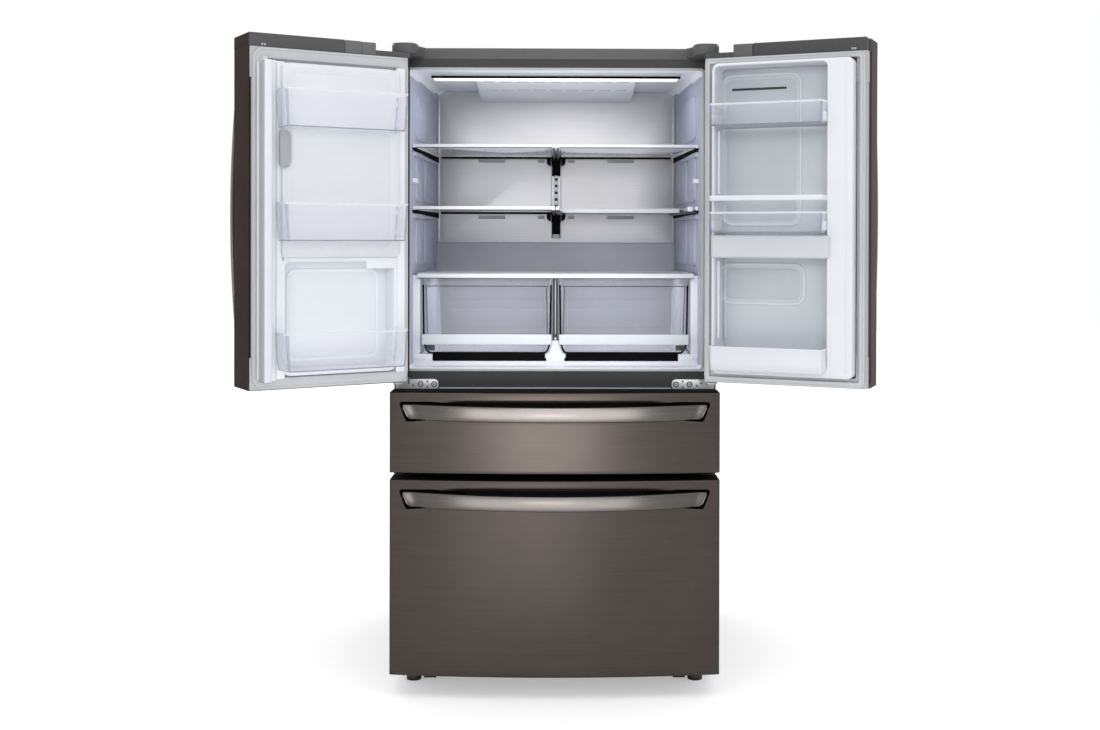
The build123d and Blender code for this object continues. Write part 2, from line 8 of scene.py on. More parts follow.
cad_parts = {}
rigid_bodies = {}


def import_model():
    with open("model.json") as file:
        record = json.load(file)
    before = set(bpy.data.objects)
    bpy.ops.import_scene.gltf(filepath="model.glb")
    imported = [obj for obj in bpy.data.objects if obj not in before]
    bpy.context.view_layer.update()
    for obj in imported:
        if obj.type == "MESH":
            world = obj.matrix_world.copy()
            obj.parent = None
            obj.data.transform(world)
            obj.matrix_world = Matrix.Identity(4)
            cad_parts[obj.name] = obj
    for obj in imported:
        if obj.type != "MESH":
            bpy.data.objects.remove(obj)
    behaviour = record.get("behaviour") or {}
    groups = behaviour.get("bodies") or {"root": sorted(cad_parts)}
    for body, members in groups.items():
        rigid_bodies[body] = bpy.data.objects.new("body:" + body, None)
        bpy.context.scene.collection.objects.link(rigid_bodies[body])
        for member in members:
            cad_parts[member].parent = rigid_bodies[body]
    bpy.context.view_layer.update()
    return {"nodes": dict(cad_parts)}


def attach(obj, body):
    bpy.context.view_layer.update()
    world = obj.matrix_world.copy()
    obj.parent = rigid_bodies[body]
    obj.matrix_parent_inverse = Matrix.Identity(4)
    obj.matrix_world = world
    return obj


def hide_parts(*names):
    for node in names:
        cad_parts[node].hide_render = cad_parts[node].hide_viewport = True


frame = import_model()

# Geometry is written in millimetres in the cabinet's own frame, with the doors closed.
# "L" and "R" turn a piece with its door to the open pose, and everything is moved to the row frame.
MM = 0.001
Y_SHIFT = -180.0
AX, AY = 436.0, -70.0
OPEN_L, OPEN_R = math.radians(149.0), math.radians(156.0)


def world(f, p):
    x, y, z = p
    if f == "L":
        dx, dy = x + AX, y - AY
        c, s = math.cos(OPEN_L), math.sin(OPEN_L)
        x, y = -AX + dx * c + dy * s, AY - dx * s + dy * c
    elif f == "R":
        dx, dy = x - AX, y - AY
        c, s = math.cos(OPEN_R), math.sin(OPEN_R)
        x, y = AX + dx * c - dy * s, AY + dx * s + dy * c
    return (x * MM, (y + Y_SHIFT) * MM, z * MM)


# ------------------------------------------------------------------ materials
def new_mat(name):
    m = bpy.data.materials.new(name)
    m.use_nodes = True
    n, l = m.node_tree.nodes, m.node_tree.links
    return m, n, l, n["Principled BSDF"]


def noise(n, l, scale, detail=3.0, vec=(1, 1, 1), rough=0.55):
    tc = n.new("ShaderNodeTexCoord")
    mp = n.new("ShaderNodeMapping")
    mp.inputs["Scale"].default_value = vec
    l.new(tc.outputs["Object"], mp.inputs["Vector"])
    t = n.new("ShaderNodeTexNoise")
    t.inputs["Scale"].default_value = scale
    t.inputs["Detail"].default_value = detail
    t.inputs["Roughness"].default_value = rough
    l.new(mp.outputs["Vector"], t.inputs["Vector"])
    return t.outputs["Fac"]


def remap(n, l, fac, a, b, lo=0.3, hi=0.7):
    r = n.new("ShaderNodeMapRange")
    r.inputs["From Min"].default_value = lo
    r.inputs["From Max"].default_value = hi
    r.inputs["To Min"].default_value = a
    r.inputs["To Max"].default_value = b
    l.new(fac, r.inputs["Value"])
    return r.outputs["Result"]


def mix_col(n, l, fac, a, b):
    m = n.new("ShaderNodeMix")
    m.data_type = "RGBA"
    m.inputs["A"].default_value = (*a, 1)
    m.inputs["B"].default_value = (*b, 1)
    for s in m.inputs:
        if s.name == "A" and s.type == "RGBA":
            s.default_value = (*a, 1)
        if s.name == "B" and s.type == "RGBA":
            s.default_value = (*b, 1)
    l.new(fac, m.inputs["Factor"])
    return [o for o in m.outputs if o.type == "RGBA"][0]


def bump(n, l, p, fac, strength, dist):
    b = n.new("ShaderNodeBump")
    b.inputs["Strength"].default_value = strength
    b.inputs["Distance"].default_value = dist
    l.new(fac, b.inputs["Height"])
    l.new(b.outputs["Normal"], p.inputs["Normal"])


def edge_wear_and_highlight(n, l, col, edge, amount):
    """Edges a little lighter or duller, from the mesh's own curvature: partly worn edges, partly a painted highlight
    along the edges.
    """
    g = n.new("ShaderNodeNewGeometry")
    f = remap(n, l, g.outputs["Pointiness"], 0.0, amount, 0.52, 0.62)
    m = n.new("ShaderNodeMix")
    m.data_type = "RGBA"
    l.new(f, m.inputs["Factor"])
    ins = [s for s in m.inputs if s.type == "RGBA"]
    l.new(col, ins[0])
    ins[1].default_value = (*edge, 1)
    return [o for o in m.outputs if o.type == "RGBA"][0]


def moulded(name, a, b, rough, grain=1400.0, depth=0.00012, strength=0.25, spec=0.5, edge=None):
    """Moulded plastic or painted sheet: faint mottling, fine texture, uneven gloss."""
    m, n, l, p = new_mat(name)
    big = noise(n, l, 7.0, 3.0)
    fine = noise(n, l, grain, 2.0)
    col = mix_col(n, l, remap(n, l, big, 0, 1), a, b)
    if edge:
        col = edge_wear_and_highlight(n, l, col, edge, 0.5)
    l.new(col, p.inputs["Base Color"])
    mid = noise(n, l, 60.0, 3.0)
    l.new(remap(n, l, mid, rough - 0.02, rough + 0.03), p.inputs["Roughness"])
    p.inputs["Specular IOR Level"].default_value = spec
    bump(n, l, p, fine, strength, depth)
    return m


def brushed(name, a, b, rough, metal, vec, edge=None, strength=0.12):
    """Brushed metal: long fine scratches along one direction, in colour, gloss and relief."""
    m, n, l, p = new_mat(name)
    line = noise(n, l, 1.0, 4.0, vec, 0.65)
    cloud = noise(n, l, 5.0, 2.0)
    s = n.new("ShaderNodeMath")
    s.operation = "MULTIPLY_ADD"
    s.inputs[1].default_value = 0.75
    l.new(line, s.inputs[0])
    c2 = n.new("ShaderNodeMath")
    c2.operation = "MULTIPLY"
    c2.inputs[1].default_value = 0.25
    l.new(cloud, c2.inputs[0])
    l.new(c2.outputs[0], s.inputs[2])
    col = mix_col(n, l, remap(n, l, s.outputs[0], 0, 1, 0.34, 0.66), a, b)
    if edge:
        col = edge_wear_and_highlight(n, l, col, edge, 0.6)
    l.new(col, p.inputs["Base Color"])
    l.new(remap(n, l, line, rough - 0.05, rough + 0.07), p.inputs["Roughness"])
    p.inputs["Metallic"].default_value = metal
    bump(n, l, p, line, strength, 0.00006)
    return m


def clear(name, tint, a0, a1, rough, grain=220.0):
    """Clear moulded plastic or glass: thin, tinted, more visible where it is seen edge-on."""
    m, n, l, p = new_mat(name)
    p.inputs["Base Color"].default_value = (*tint, 1)
    f = noise(n, l, grain, 2.0)
    l.new(remap(n, l, f, rough * 0.8, rough * 1.3), p.inputs["Roughness"])
    w = n.new("ShaderNodeLayerWeight")
    w.inputs["Blend"].default_value = 0.45
    l.new(remap(n, l, w.outputs["Facing"], a0, a1, 0.05, 0.95), p.inputs["Alpha"])
    bump(n, l, p, f, 0.012, 0.0003)
    m.use_transparency_overlap = False if hasattr(m, "use_transparency_overlap") else None
    return m


def lamp(name, col, power):
    m, n, l, p = new_mat(name)
    f = noise(n, l, 300.0, 2.0)
    l.new(mix_col(n, l, f, (0.9, 0.9, 0.9), (0.96, 0.96, 0.96)), p.inputs["Base Color"])
    l.new(remap(n, l, f, 0.35, 0.5), p.inputs["Roughness"])
    p.inputs["Emission Color"].default_value = (*col, 1)
    p.inputs["Emission Strength"].default_value = power
    return m


HGRAIN, VGRAIN, YGRAIN = (5.0, 5.0, 1500.0), (1500.0, 1500.0, 5.0), (900.0, 6.0, 900.0)
# The edge colours passed below are lighter than the faces: partly worn edges, partly a painted highlight along edges.
BLACK_STEEL = brushed("black_stainless", (0.071, 0.0585, 0.0525), (0.092, 0.0765, 0.0695), 0.32, 0.94, HGRAIN, (0.125, 0.11, 0.10))
# Door side edges: a dark edge colour, made darker for the left door as painted shade and lighter for the right door as
# painted light.
EDGE_SHADE = moulded("door_edge", (0.027, 0.0185, 0.0165), (0.033, 0.0225, 0.0195), 0.6, 900.0, 0.0001, 0.2, 0.04)
EDGE_LIT = moulded("door_edge_bronze", (0.076, 0.0635, 0.058), (0.088, 0.0735, 0.068), 0.55, 900.0, 0.0001, 0.2, 0.05)
HANDLE_H = brushed("handle_stainless_h", (0.100, 0.0915, 0.0865), (0.126, 0.1155, 0.109), 0.24, 0.95, HGRAIN, (0.34, 0.31, 0.29))
HANDLE_V = brushed("handle_stainless_v", (0.172, 0.158, 0.149), (0.212, 0.195, 0.184), 0.30, 0.95, VGRAIN, (0.34, 0.31, 0.29))
CASE = moulded("case_paint", (0.030, 0.030, 0.031), (0.037, 0.037, 0.038), 0.5, 900.0, 0.0002, 0.35, 0.4)
DARK = moulded("dark_plastic", (0.082, 0.081, 0.083), (0.098, 0.097, 0.099), 0.52, 1500.0, 0.00015, 0.3, 0.4, (0.19, 0.19, 0.195))
CAP = moulded("cap_plastic", (0.049, 0.049, 0.051), (0.060, 0.060, 0.062), 0.55, 1500.0, 0.00015, 0.3, 0.35, (0.11, 0.11, 0.112))
# Near-black: real black parts such as shelf hooks, and painted shade in gaps, pockets and behind bars.
BLACK_AND_SHADE = moulded("black_and_painted_shade", (0.004, 0.004, 0.004), (0.007, 0.0065, 0.0065), 0.75, 900.0, 0.0001, 0.2, 0.05)
WHITE = moulded("white_liner", (0.745, 0.765, 0.81), (0.78, 0.80, 0.84), 0.36, 700.0, 0.00010, 0.18, 0.5)
# Light grey plastic; also used once as a painted highlight line on the crisper post.
LIGHT_GREY_AND_HIGHLIGHT = moulded("light_plastic", (0.405, 0.413, 0.43), (0.435, 0.443, 0.46), 0.42, 1200.0, 0.00012, 0.25, 0.45)
PALE = moulded("pale_plastic", (0.61, 0.63, 0.655), (0.65, 0.67, 0.69), 0.38, 1200.0, 0.0001, 0.2, 0.5)
SEAL = moulded("gasket_grey", (0.485, 0.49, 0.51), (0.525, 0.53, 0.55), 0.62, 800.0, 0.00018, 0.3, 0.3)
# Bluish grey for the cavity's side walls and their raised panels: a shaded copy of the white liner, painted shade.
WALL_SHADE = moulded("cavity_side_painted_shade", (0.36, 0.385, 0.47), (0.41, 0.435, 0.52), 0.5, 700.0, 0.0001, 0.18, 0.5)
PANE = moulded("window_panel", (0.55, 0.58, 0.625), (0.60, 0.63, 0.675), 0.42, 700.0, 0.0001, 0.18, 0.5)
BLUEGREY = moulded("window_backing", (0.61, 0.65, 0.69), (0.67, 0.71, 0.75), 0.42, 700.0, 0.0001, 0.2, 0.5)
CLEAR = clear("clear_plastic", (0.84, 0.85, 0.95), 0.06, 0.50, 0.06)
LIP = clear("clear_lip", (0.90, 0.91, 0.97), 0.55, 0.92, 0.10)
# Dark bluish clear plastic for the bins' bottom bands, corners and edges: painted shade where the clear plastic is seen
# edge-on.
CLEAR_EDGE_SHADE = clear("clear_edge_painted_shade", (0.33, 0.34, 0.46), 0.42, 0.86, 0.10)
GLASS = clear("shelf_glass", (0.86, 0.885, 0.92), 0.24, 0.62, 0.05, 26.0)
TRIM = moulded("shelf_trim", (0.61, 0.62, 0.65), (0.66, 0.67, 0.70), 0.3, 900.0, 0.0001, 0.2, 0.5)
STEEL = brushed("steel_panel", (0.56, 0.555, 0.575), (0.66, 0.655, 0.675), 0.38, 0.75, HGRAIN)
REAR = moulded("rear_panel", (0.36, 0.37, 0.41), (0.40, 0.41, 0.45), 0.4, 900.0, 0.0001, 0.2, 0.5)
ZINC = brushed("zinc", (0.60, 0.605, 0.615), (0.74, 0.745, 0.755), 0.36, 0.45, (260.0, 260.0, 260.0), (0.62, 0.63, 0.64), 0.2)
GALV = brushed("galvanised", (0.30, 0.305, 0.31), (0.43, 0.435, 0.44), 0.45, 0.85, (70.0, 70.0, 70.0), None, 0.2)
FOAM = moulded("foam", (0.62, 0.55, 0.36), (0.70, 0.62, 0.42), 0.85, 300.0, 0.001, 0.6, 0.2)
LAMP = lamp("lamp", (1.0, 0.985, 0.97), 1.5)
GLOSS = moulded("black_gloss", (0.010, 0.010, 0.011), (0.016, 0.016, 0.017), 0.12, 500.0, 0.00004, 0.1, 0.6)
BLACK = moulded("black_paint", (0.018, 0.018, 0.019), (0.028, 0.028, 0.029), 0.42, 600.0, 0.0003, 0.4, 0.5, (0.06, 0.06, 0.06))
# Black plastic; also used as painted shade in the crisper compartment and on the crisper tubs.
SLATE_AND_SHADE = moulded("black_plastic_and_painted_shade", (0.022, 0.022, 0.026), (0.032, 0.032, 0.037), 0.4, 1100.0, 0.00012, 0.3, 0.5, (0.07, 0.07, 0.08))
COIL = brushed("coil_alu", (0.55, 0.55, 0.56), (0.72, 0.72, 0.73), 0.38, 0.9, (30.0, 900.0, 30.0))
ROLLER = moulded("roller", (0.045, 0.045, 0.045), (0.07, 0.07, 0.07), 0.6, 500.0, 0.0003, 0.4, 0.4)
BLUELINE = moulded("rail_edge", (0.36, 0.385, 0.47), (0.41, 0.435, 0.52), 0.35, 800.0, 0.0001, 0.2, 0.5)
SLOT_MATS = {
    "black_stainless": BLACK_STEEL, "case_paint": CASE, "dark_plastic": DARK, "white_liner": WHITE, "light_plastic": LIGHT_GREY_AND_HIGHLIGHT,
    "clear_plastic": CLEAR, "shelf_glass": GLASS, "shelf_trim": TRIM, "steel_panel": STEEL, "gasket_grey": SEAL,
    "zinc": ZINC, "galvanised": GALV, "foam": FOAM, "lamp": LAMP, "black_gloss": GLOSS, "black_paint": BLACK,
    "coil_alu": COIL, "roller": ROLLER,
}


# ------------------------------------------------------------------ mesh helpers
def rr(a0, a1, b0, b1, r, n=4):
    """Rounded rectangle, anticlockwise. r is one radius or four: (a0,b0), (a1,b0), (a1,b1), (a0,b1)."""
    rs = r if isinstance(r, (tuple, list)) else (r,) * 4
    lim = min(a1 - a0, b1 - b0) / 2 - 1e-3
    out = []
    for (a, b, s), q in zip(((a0, b0, 180), (a1, b0, 270), (a1, b1, 0), (a0, b1, 90)), rs):
        q = max(min(q, lim), 1e-3)
        ca = a + q if a == a0 else a - q
        cb = b + q if b == b0 else b - q
        for i in range(n + 1):
            t = math.radians(s + 90 * i / n)
            out.append((ca + q * math.cos(t), cb + q * math.sin(t)))
    return out


def rnd(pts, r=3.0, n=4):
    """Polygon with rounded corners; a point may carry its own radius."""
    out, k = [], len(pts)
    for i in range(k):
        p, c, q = Vector(pts[i - 1][:2]), Vector(pts[i][:2]), Vector(pts[(i + 1) % k][:2])
        rad = pts[i][2] if len(pts[i]) > 2 else r
        u, v = p - c, q - c
        if rad <= 0 or u.length < 1e-6 or v.length < 1e-6:
            out.append(tuple(c))
            continue
        ang = u.angle(v)
        d = min(rad / max(math.tan(ang / 2), 1e-3), 0.48 * u.length, 0.48 * v.length)
        a, b = c + u.normalized() * d, c + v.normalized() * d
        for j in range(n + 1):
            t = j / n
            w = a * (1 - t) ** 2 + c * 2 * t * (1 - t) + b * t * t
            out.append(tuple(w))
    return out


def area2(pts):
    return sum(pts[i - 1][0] * pts[i][1] - pts[i][0] * pts[i - 1][1] for i in range(len(pts))) / 2


def offset(pts, d):
    """Moves every edge outwards by d."""
    if abs(d) < 1e-9:
        return list(pts)
    sgn = 1 if area2(pts) > 0 else -1
    out, k = [], len(pts)
    for i in range(k):
        p, c, q = Vector(pts[i - 1]), Vector(pts[i]), Vector(pts[(i + 1) % k])
        e1, e2 = c - p, q - c
        if e1.length < 1e-7:
            e1 = e2
        if e2.length < 1e-7:
            e2 = e1
        n1 = Vector((e1.y, -e1.x)).normalized() * sgn
        n2 = Vector((e2.y, -e2.x)).normalized() * sgn
        m = n1 + n2
        if m.length < 1e-6:
            m = n1
        m.normalize()
        out.append(tuple(c + m * (d / max(m.dot(n1), 0.4))))
    return out


def room(pts, r):
    """The rounding r, less where moving the edges in by r would turn one of them round."""
    k = len(pts)
    while r > 0.05:
        q = offset(pts, -r)
        turned = False
        for i in range(k):
            e = Vector(pts[(i + 1) % k]) - Vector(pts[i])
            if (Vector(q[(i + 1) % k]) - Vector(q[i])).dot(e) < -0.02 * e.length_squared:
                turned = True
                break
        if not turned:
            break
        r *= 0.8
    return r


PLANES = {"xy": lambda a, b, c: (a, b, c), "xz": lambda a, b, c: (a, c, b), "yz": lambda a, b, c: (c, a, b)}


def front_y(x):
    """The bowed front surface of doors and drawer fronts."""
    e = -140.0 + 28.0 / 450.0 ** 2 * 500.0 ** 2
    s = e + 140.0
    r = (500.0 ** 2 + s * s) / (2 * s)
    return -140.0 + r - math.sqrt(r * r - x * x)


def arc_y(x, half, end, mid):
    """Depth of a bar bowed from end at +-half to mid at 0."""
    s = abs(end - mid)
    r = (half * half + s * s) / (2 * s)
    return mid + (r - math.sqrt(max(r * r - x * x, 0.0)))


class Piece:
    def __init__(self, name, body, f="C"):
        self.name, self.body, self.f = name, body, f
        self.v, self.faces, self.mi, self.mats, self.groups = [], [], [], [], 0

    def put(self, verts, faces, mat):
        b = bmesh.new()
        vs = [b.verts.new(p) for p in verts]
        for fc in faces:
            q = [vs[i] for k, i in enumerate(fc) if i != fc[k - 1]]
            if len(set(q)) >= 3:
                try:
                    b.faces.new(q)
                except ValueError:
                    pass
        bmesh.ops.remove_doubles(b, verts=b.verts, dist=1e-4)
        bmesh.ops.recalc_face_normals(b, faces=b.faces)
        b.verts.index_update()
        o = len(self.v)
        if mat not in self.mats:
            self.mats.append(mat)
        k = self.mats.index(mat)
        self.v += [tuple(v.co) for v in b.verts]
        for fc in b.faces:
            self.faces.append([v.index + o for v in fc.verts])
            self.mi.append(k)
        b.free()
        return self

    def loft(self, rings, mat, caps=True, loop=False):
        k, verts, faces = len(rings[0]), [], []
        for r in rings:
            verts += r
        pairs = [(i, i + 1) for i in range(len(rings) - 1)] + ([(len(rings) - 1, 0)] if loop else [])
        for a, b in pairs:
            for j in range(k):
                j2 = (j + 1) % k
                faces.append([a * k + j, a * k + j2, b * k + j2, b * k + j])
        if caps and not loop:
            faces.append(list(range(k))[::-1])
            faces.append([(len(rings) - 1) * k + j for j in range(k)])
        return self.put(verts, faces, mat)

    def pill(self, pts, plane, a0, a1, mat, r=1.0, n=3, r1=None):
        """A prism with its two end edges rounded."""
        mp = PLANES[plane]
        r1 = room(pts, r if r1 is None else r1)
        r = room(pts, r)
        rings = []
        for i in range(n + 1):
            t = math.pi / 2 * i / n
            rings.append([mp(a, b, a0 + r * (1 - math.cos(t))) for a, b in offset(pts, -r * (1 - math.sin(t)))])
        for i in range(n, -1, -1):
            t = math.pi / 2 * i / n
            rings.append([mp(a, b, a1 - r1 * (1 - math.cos(t))) for a, b in offset(pts, -r1 * (1 - math.sin(t)))])
        return self.loft(rings, mat)

    def box(self, x0, x1, y0, y1, z0, z1, mat, r=1.5, n=3):
        """A block with every edge rounded."""
        d = {"yz": x1 - x0, "xz": y1 - y0, "xy": z1 - z0}
        plane = min(d, key=d.get)
        r = min(r, d[plane] * 0.49)
        if plane == "yz":
            return self.pill(rr(y0, y1, z0, z1, r, n), plane, x0, x1, mat, r, n)
        if plane == "xz":
            return self.pill(rr(x0, x1, z0, z1, r, n), plane, y0, y1, mat, r, n)
        return self.pill(rr(x0, x1, y0, y1, r, n), plane, z0, z1, mat, r, n)

    def mould(self, a0, a1, b0, b1, r, prof, mat, plane="xz", n=5, loop=True):
        """A profile of (outward offset, depth) swept round a rounded rectangle."""
        mp = PLANES[plane]
        rings = [[mp(a, b, c) for a, b in rr(a0 - d, a1 + d, b0 - d, b1 + d, max(r + d, 0.4), n)] for d, c in prof]
        return self.loft(rings, mat, caps=not loop, loop=loop)

    def tub(self, levels, wall, mat, floor=None, n=4):
        """An open vessel. levels: (x0, x1, y0, y1, z, r) from the bottom up."""
        floor = wall if floor is None else floor
        out = [[(a, b, z) for a, b in rr(x0, x1, y0, y1, r, n)] for x0, x1, y0, y1, z, r in levels]
        inn = []
        for i, (x0, x1, y0, y1, z, r) in enumerate(levels[::-1]):
            zz = z if i < len(levels) - 1 else z + floor
            inn.append([(a, b, zz) for a, b in rr(x0 + wall, x1 - wall, y0 + wall, y1 - wall, max(r - wall, 0.4), n)])
        return self.loft(out + inn, mat)

    def tube(self, path, rad, mat, k=10):
        """A round rod along a path."""
        pts = [Vector(p) for p in path]
        rings, up = [], None
        for i, p in enumerate(pts):
            t = (pts[min(i + 1, len(pts) - 1)] - pts[max(i - 1, 0)]).normalized()
            if up is None:
                up = Vector((0, 0, 1)) if abs(t.z) < 0.9 else Vector((1, 0, 0))
            a = t.cross(up).normalized()
            b = a.cross(t).normalized()
            up = b
            rings.append([tuple(p + a * (rad * math.cos(2 * math.pi * j / k)) + b * (rad * math.sin(2 * math.pi * j / k))) for j in range(k)])
        return self.loft(rings, mat)

    def disc(self, x, y, z, rad, a0, a1, mat, plane="xy", r=0.6, k=28):
        c = {"xy": (x, y), "xz": (x, z), "yz": (y, z)}[plane]
        pts = [(c[0] + rad * math.cos(2 * math.pi * i / k), c[1] + rad * math.sin(2 * math.pi * i / k)) for i in range(k)]
        return self.pill(pts, plane, a0, a1, mat, r, 2)

    def paint(self, test, mat):
        """Gives another material to the faces whose centre and normal pass the test."""
        if mat not in self.mats:
            self.mats.append(mat)
        k = self.mats.index(mat)
        for i, fc in enumerate(self.faces):
            q = [Vector(self.v[j]) for j in fc]
            nrm = Vector((0, 0, 0))
            for j in range(len(q)):
                nrm += q[j - 1].cross(q[j])
            if nrm.length > 1e-9 and test(sum(q, Vector()) / len(q), nrm.normalized()):
                self.mi[i] = k
        return self

    def mesh(self):
        me = bpy.data.meshes.new(self.name)
        me.from_pydata([world(self.f, p) for p in self.v], [], self.faces)
        for m in self.mats:
            me.materials.append(m)
        me.polygons.foreach_set("material_index", self.mi)
        me.update()
        return me

    def make(self, *nodes, slot=None, smooth=38.0, cut=()):
        ob = bpy.data.objects.new(self.name, self.mesh())
        bpy.context.scene.collection.objects.link(ob)
        if cut:
            tools = []
            for c in cut:
                t = bpy.data.objects.new("tool", c.mesh())
                bpy.context.scene.collection.objects.link(t)
                tools.append(t)
                md = ob.modifiers.new("cut", "BOOLEAN")
                md.object, md.operation, md.solver = t, "DIFFERENCE", "EXACT"
                md.material_mode = "TRANSFER"
            bpy.context.view_layer.update()
            dg = bpy.context.evaluated_depsgraph_get()
            me = bpy.data.meshes.new_from_object(ob.evaluated_get(dg))
            ob.modifiers.clear()
            ob.data = me
            for t in tools:
                bpy.data.objects.remove(t)
        me = ob.data
        me.polygons.foreach_set("use_smooth", [True] * len(me.polygons))
        me.set_sharp_from_angle(angle=math.radians(smooth))
        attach(ob, self.body)
        if nodes:
            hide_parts(*nodes)
        return ob


def arc_pts(x0, x1, fn, n=28):
    return [(x0 + (x1 - x0) * i / n, fn(x0 + (x1 - x0) * i / n)) for i in range(n + 1)]


def slab_pts(x0, x1, back, inset=0.0, edge_r=5.0, n=28, hollow=None):
    """Plan outline of a front: bowed on the viewer's side, rounded front edges, flat at the back."""
    fn = lambda x: front_y(x) + inset + (hollow(x) if hollow else 0.0)
    e = edge_r
    left = [(x0, back), (x0, fn(x0) + e)]
    lc = [(x0 + e * (1 - math.cos(t)), fn(x0 + e) + e * (1 - math.sin(t))) for t in (math.pi / 8 * i for i in range(1, 4))]
    mid = arc_pts(x0 + e, x1 - e, fn, n)
    rc = [(x1 - e * (1 - math.sin(t)), fn(x1 - e) + e * (1 - math.cos(t))) for t in (math.pi / 8 * i for i in range(1, 4))]
    return left + lc + mid + rc + [(x1, fn(x1) + e), (x1, back)]


# ------------------------------------------------------------------ drawers
def scoop(x, z, hz0, hz1):
    """Depth of the shallow finger hollow behind a drawer's bar."""
    g = max(0.0, min(1.0, (335.0 - abs(x)) / 95.0))
    g = g * g * (3 - 2 * g) * 7.5
    top, low = hz1 + 13.0, hz0 + 2.0
    if z >= top or z <= low:
        return 0.0
    if z > hz1 - 4.0:
        return g * ((top - z) / 17.0) ** 1.5
    t = min(1.0, (z - low) / 14.0)
    return g * t * t * (3 - 2 * t)


def drawer_front(tag, body, z0, z1, hz0, hz1, gz0, gz1):
    p = Piece(tag + "_front_shell", body)
    plain, rings, r = slab_pts(-450, 450, -30.0, n=60), [], 2.2
    for i in range(4):
        t = math.pi / 2 * i / 3
        rings.append([(a, b, z0 + r * (1 - math.cos(t))) for a, b in offset(plain, -r * (1 - math.sin(t)))])
    lev = [z0 + 9, hz0 - 14, hz0 + 2, hz0 + 5, hz0 + 9, hz0 + 13, hz0 + 17, hz1 - 8, hz1 - 4] + [hz1 - 4 + 17 * k / 9 for k in range(1, 10)] + [hz1 + 18]
    for z in lev:
        rings.append([(a, b, z) for a, b in slab_pts(-450, 450, -30.0, n=60, hollow=lambda x: scoop(x, z, hz0, hz1))])
    for i in range(3, -1, -1):
        t = math.pi / 2 * i / 3
        rings.append([(a, b, z1 - r * (1 - math.cos(t))) for a, b in offset(plain, -r * (1 - math.sin(t)))])
    p.loft(rings, BLACK_STEEL)
    # painted shade: the drawer's top face drawn near-black for the dark gap under the rail, and the hollow above the
    # bar drawn near-black
    p.paint(lambda c, n: n.z > 0.75 and c.z > z1 - 3, BLACK_AND_SHADE)
    p.paint(lambda c, n: hz0 + 8 < c.z < hz1 + 10.5 and c.y < -60 and scoop(c.x, c.z, hz0, hz1) > 1.6, BLACK_AND_SHADE)
    # the walls cut round each bar end take the cutter's near-black material: painted shade in the pockets
    tools = []
    for s in (-1, 1):
        c = Piece("t", body)
        h = hz1 - hz0
        pts = [(-426, hz1 + 6.5, 9), (-405, hz0 - 6.0, 10), (-352, hz0 - 2.0, 6), (-318, hz0 + h * 0.45, 8), (-232, hz1 - 3, 4), (-255, hz1 + 2.0, 20), (-335, hz1 + 8.0, 40)]
        c.pill(rnd([(s * q[0], q[1], q[2]) for q in pts]), "xz", -175, -99, BLACK_AND_SHADE, 0.2, 1)
        tools.append(c)
    p.make(tag + "_front", slot="black_stainless", cut=tools)
    b = Piece(tag + "_front_back", body)
    b.pill(rr(-449.2, 449.2, z0 + 0.8, z1 - 0.8, 3), "xz", -30.5, -14.0, DARK, 1.2, 2)
    b.pill(rr(-415, 415, max(z0 + 26, gz0 + 18), min(z1 - 16, gz1 - 18), 12), "xz", -15.0, -9.0, WHITE, 3.0, 3)
    b.make(slot="dark_plastic")
    h = Piece(tag + "_handle_bar", body)
    rings = []
    ends = [418.0, 417.6, 416.5, 415.0, 413.0, 411.0, 409.0, 404.0, 398.0]
    xs = ends + [390.0 - 780.0 * i / 60 for i in range(61)] + [-v for v in ends[::-1]]
    for x in xs:
        yo = arc_y(x, 418, -106, -188) - 0.0
        yo = min(yo, front_y(x) + 0.6) if abs(x) > 372 else yo
        yi = arc_y(min(abs(x), 388), 388, -106, -173)
        if abs(x) > 352:
            yi = max(yi, yo + 14)
        yi = max(yi, yo + 13)
        yi = min(yi, -100.5)
        slant = max(0.0, (abs(x) - 300) / 118) * 20
        ring = []
        e = max(0.0, 9.0 - (418 - abs(x)))
        sh = 9.0 - math.sqrt(max(81.0 - e * e, 0.0))
        for b_, c_ in rr(yo, yi, hz0 + sh, hz1 - sh, (3.2, 2.5, 2.5, 3.2), 3):
            k = (hz1 - c_) / (hz1 - hz0)
            crown = 1.6 * (1 - ((c_ - (hz0 + hz1) / 2) / ((hz1 - hz0) / 2)) ** 2) if b_ < (yo + yi) / 2 else 0
            ring.append((x - math.copysign(slant * k, x), b_ - crown, c_))
        rings.append(ring)
    h.loft(rings, HANDLE_H)
    # painted shade: the bar's back and top faces drawn near-black so the front above the bar reflects them dark
    h.paint(lambda c, n: n.y > 0.5 or n.z > 0.7, BLACK_AND_SHADE)
    h.make(tag + "_handle", slot="black_stainless")
    g = Piece(tag + "_seal", body)
    g.mould(-430, 430, gz0 + 7, gz1 - 7, 6, [(-7, -14), (-7, -9), (-5.2, -5), (-3.6, -7), (-1.6, -8), (0.4, -3.0), (3, -2.1), (6, -3), (6.8, -6), (6.8, -14)], SEAL)
    g.make(tag + "_gasket", slot="gasket_grey")


drawer_front("mid_drawer", "mid_drawer", 613, 832, 758, 800, 615, 823)
drawer_front("freezer_drawer", "freezer_drawer", 62, 594, 520, 562, 84, 590)


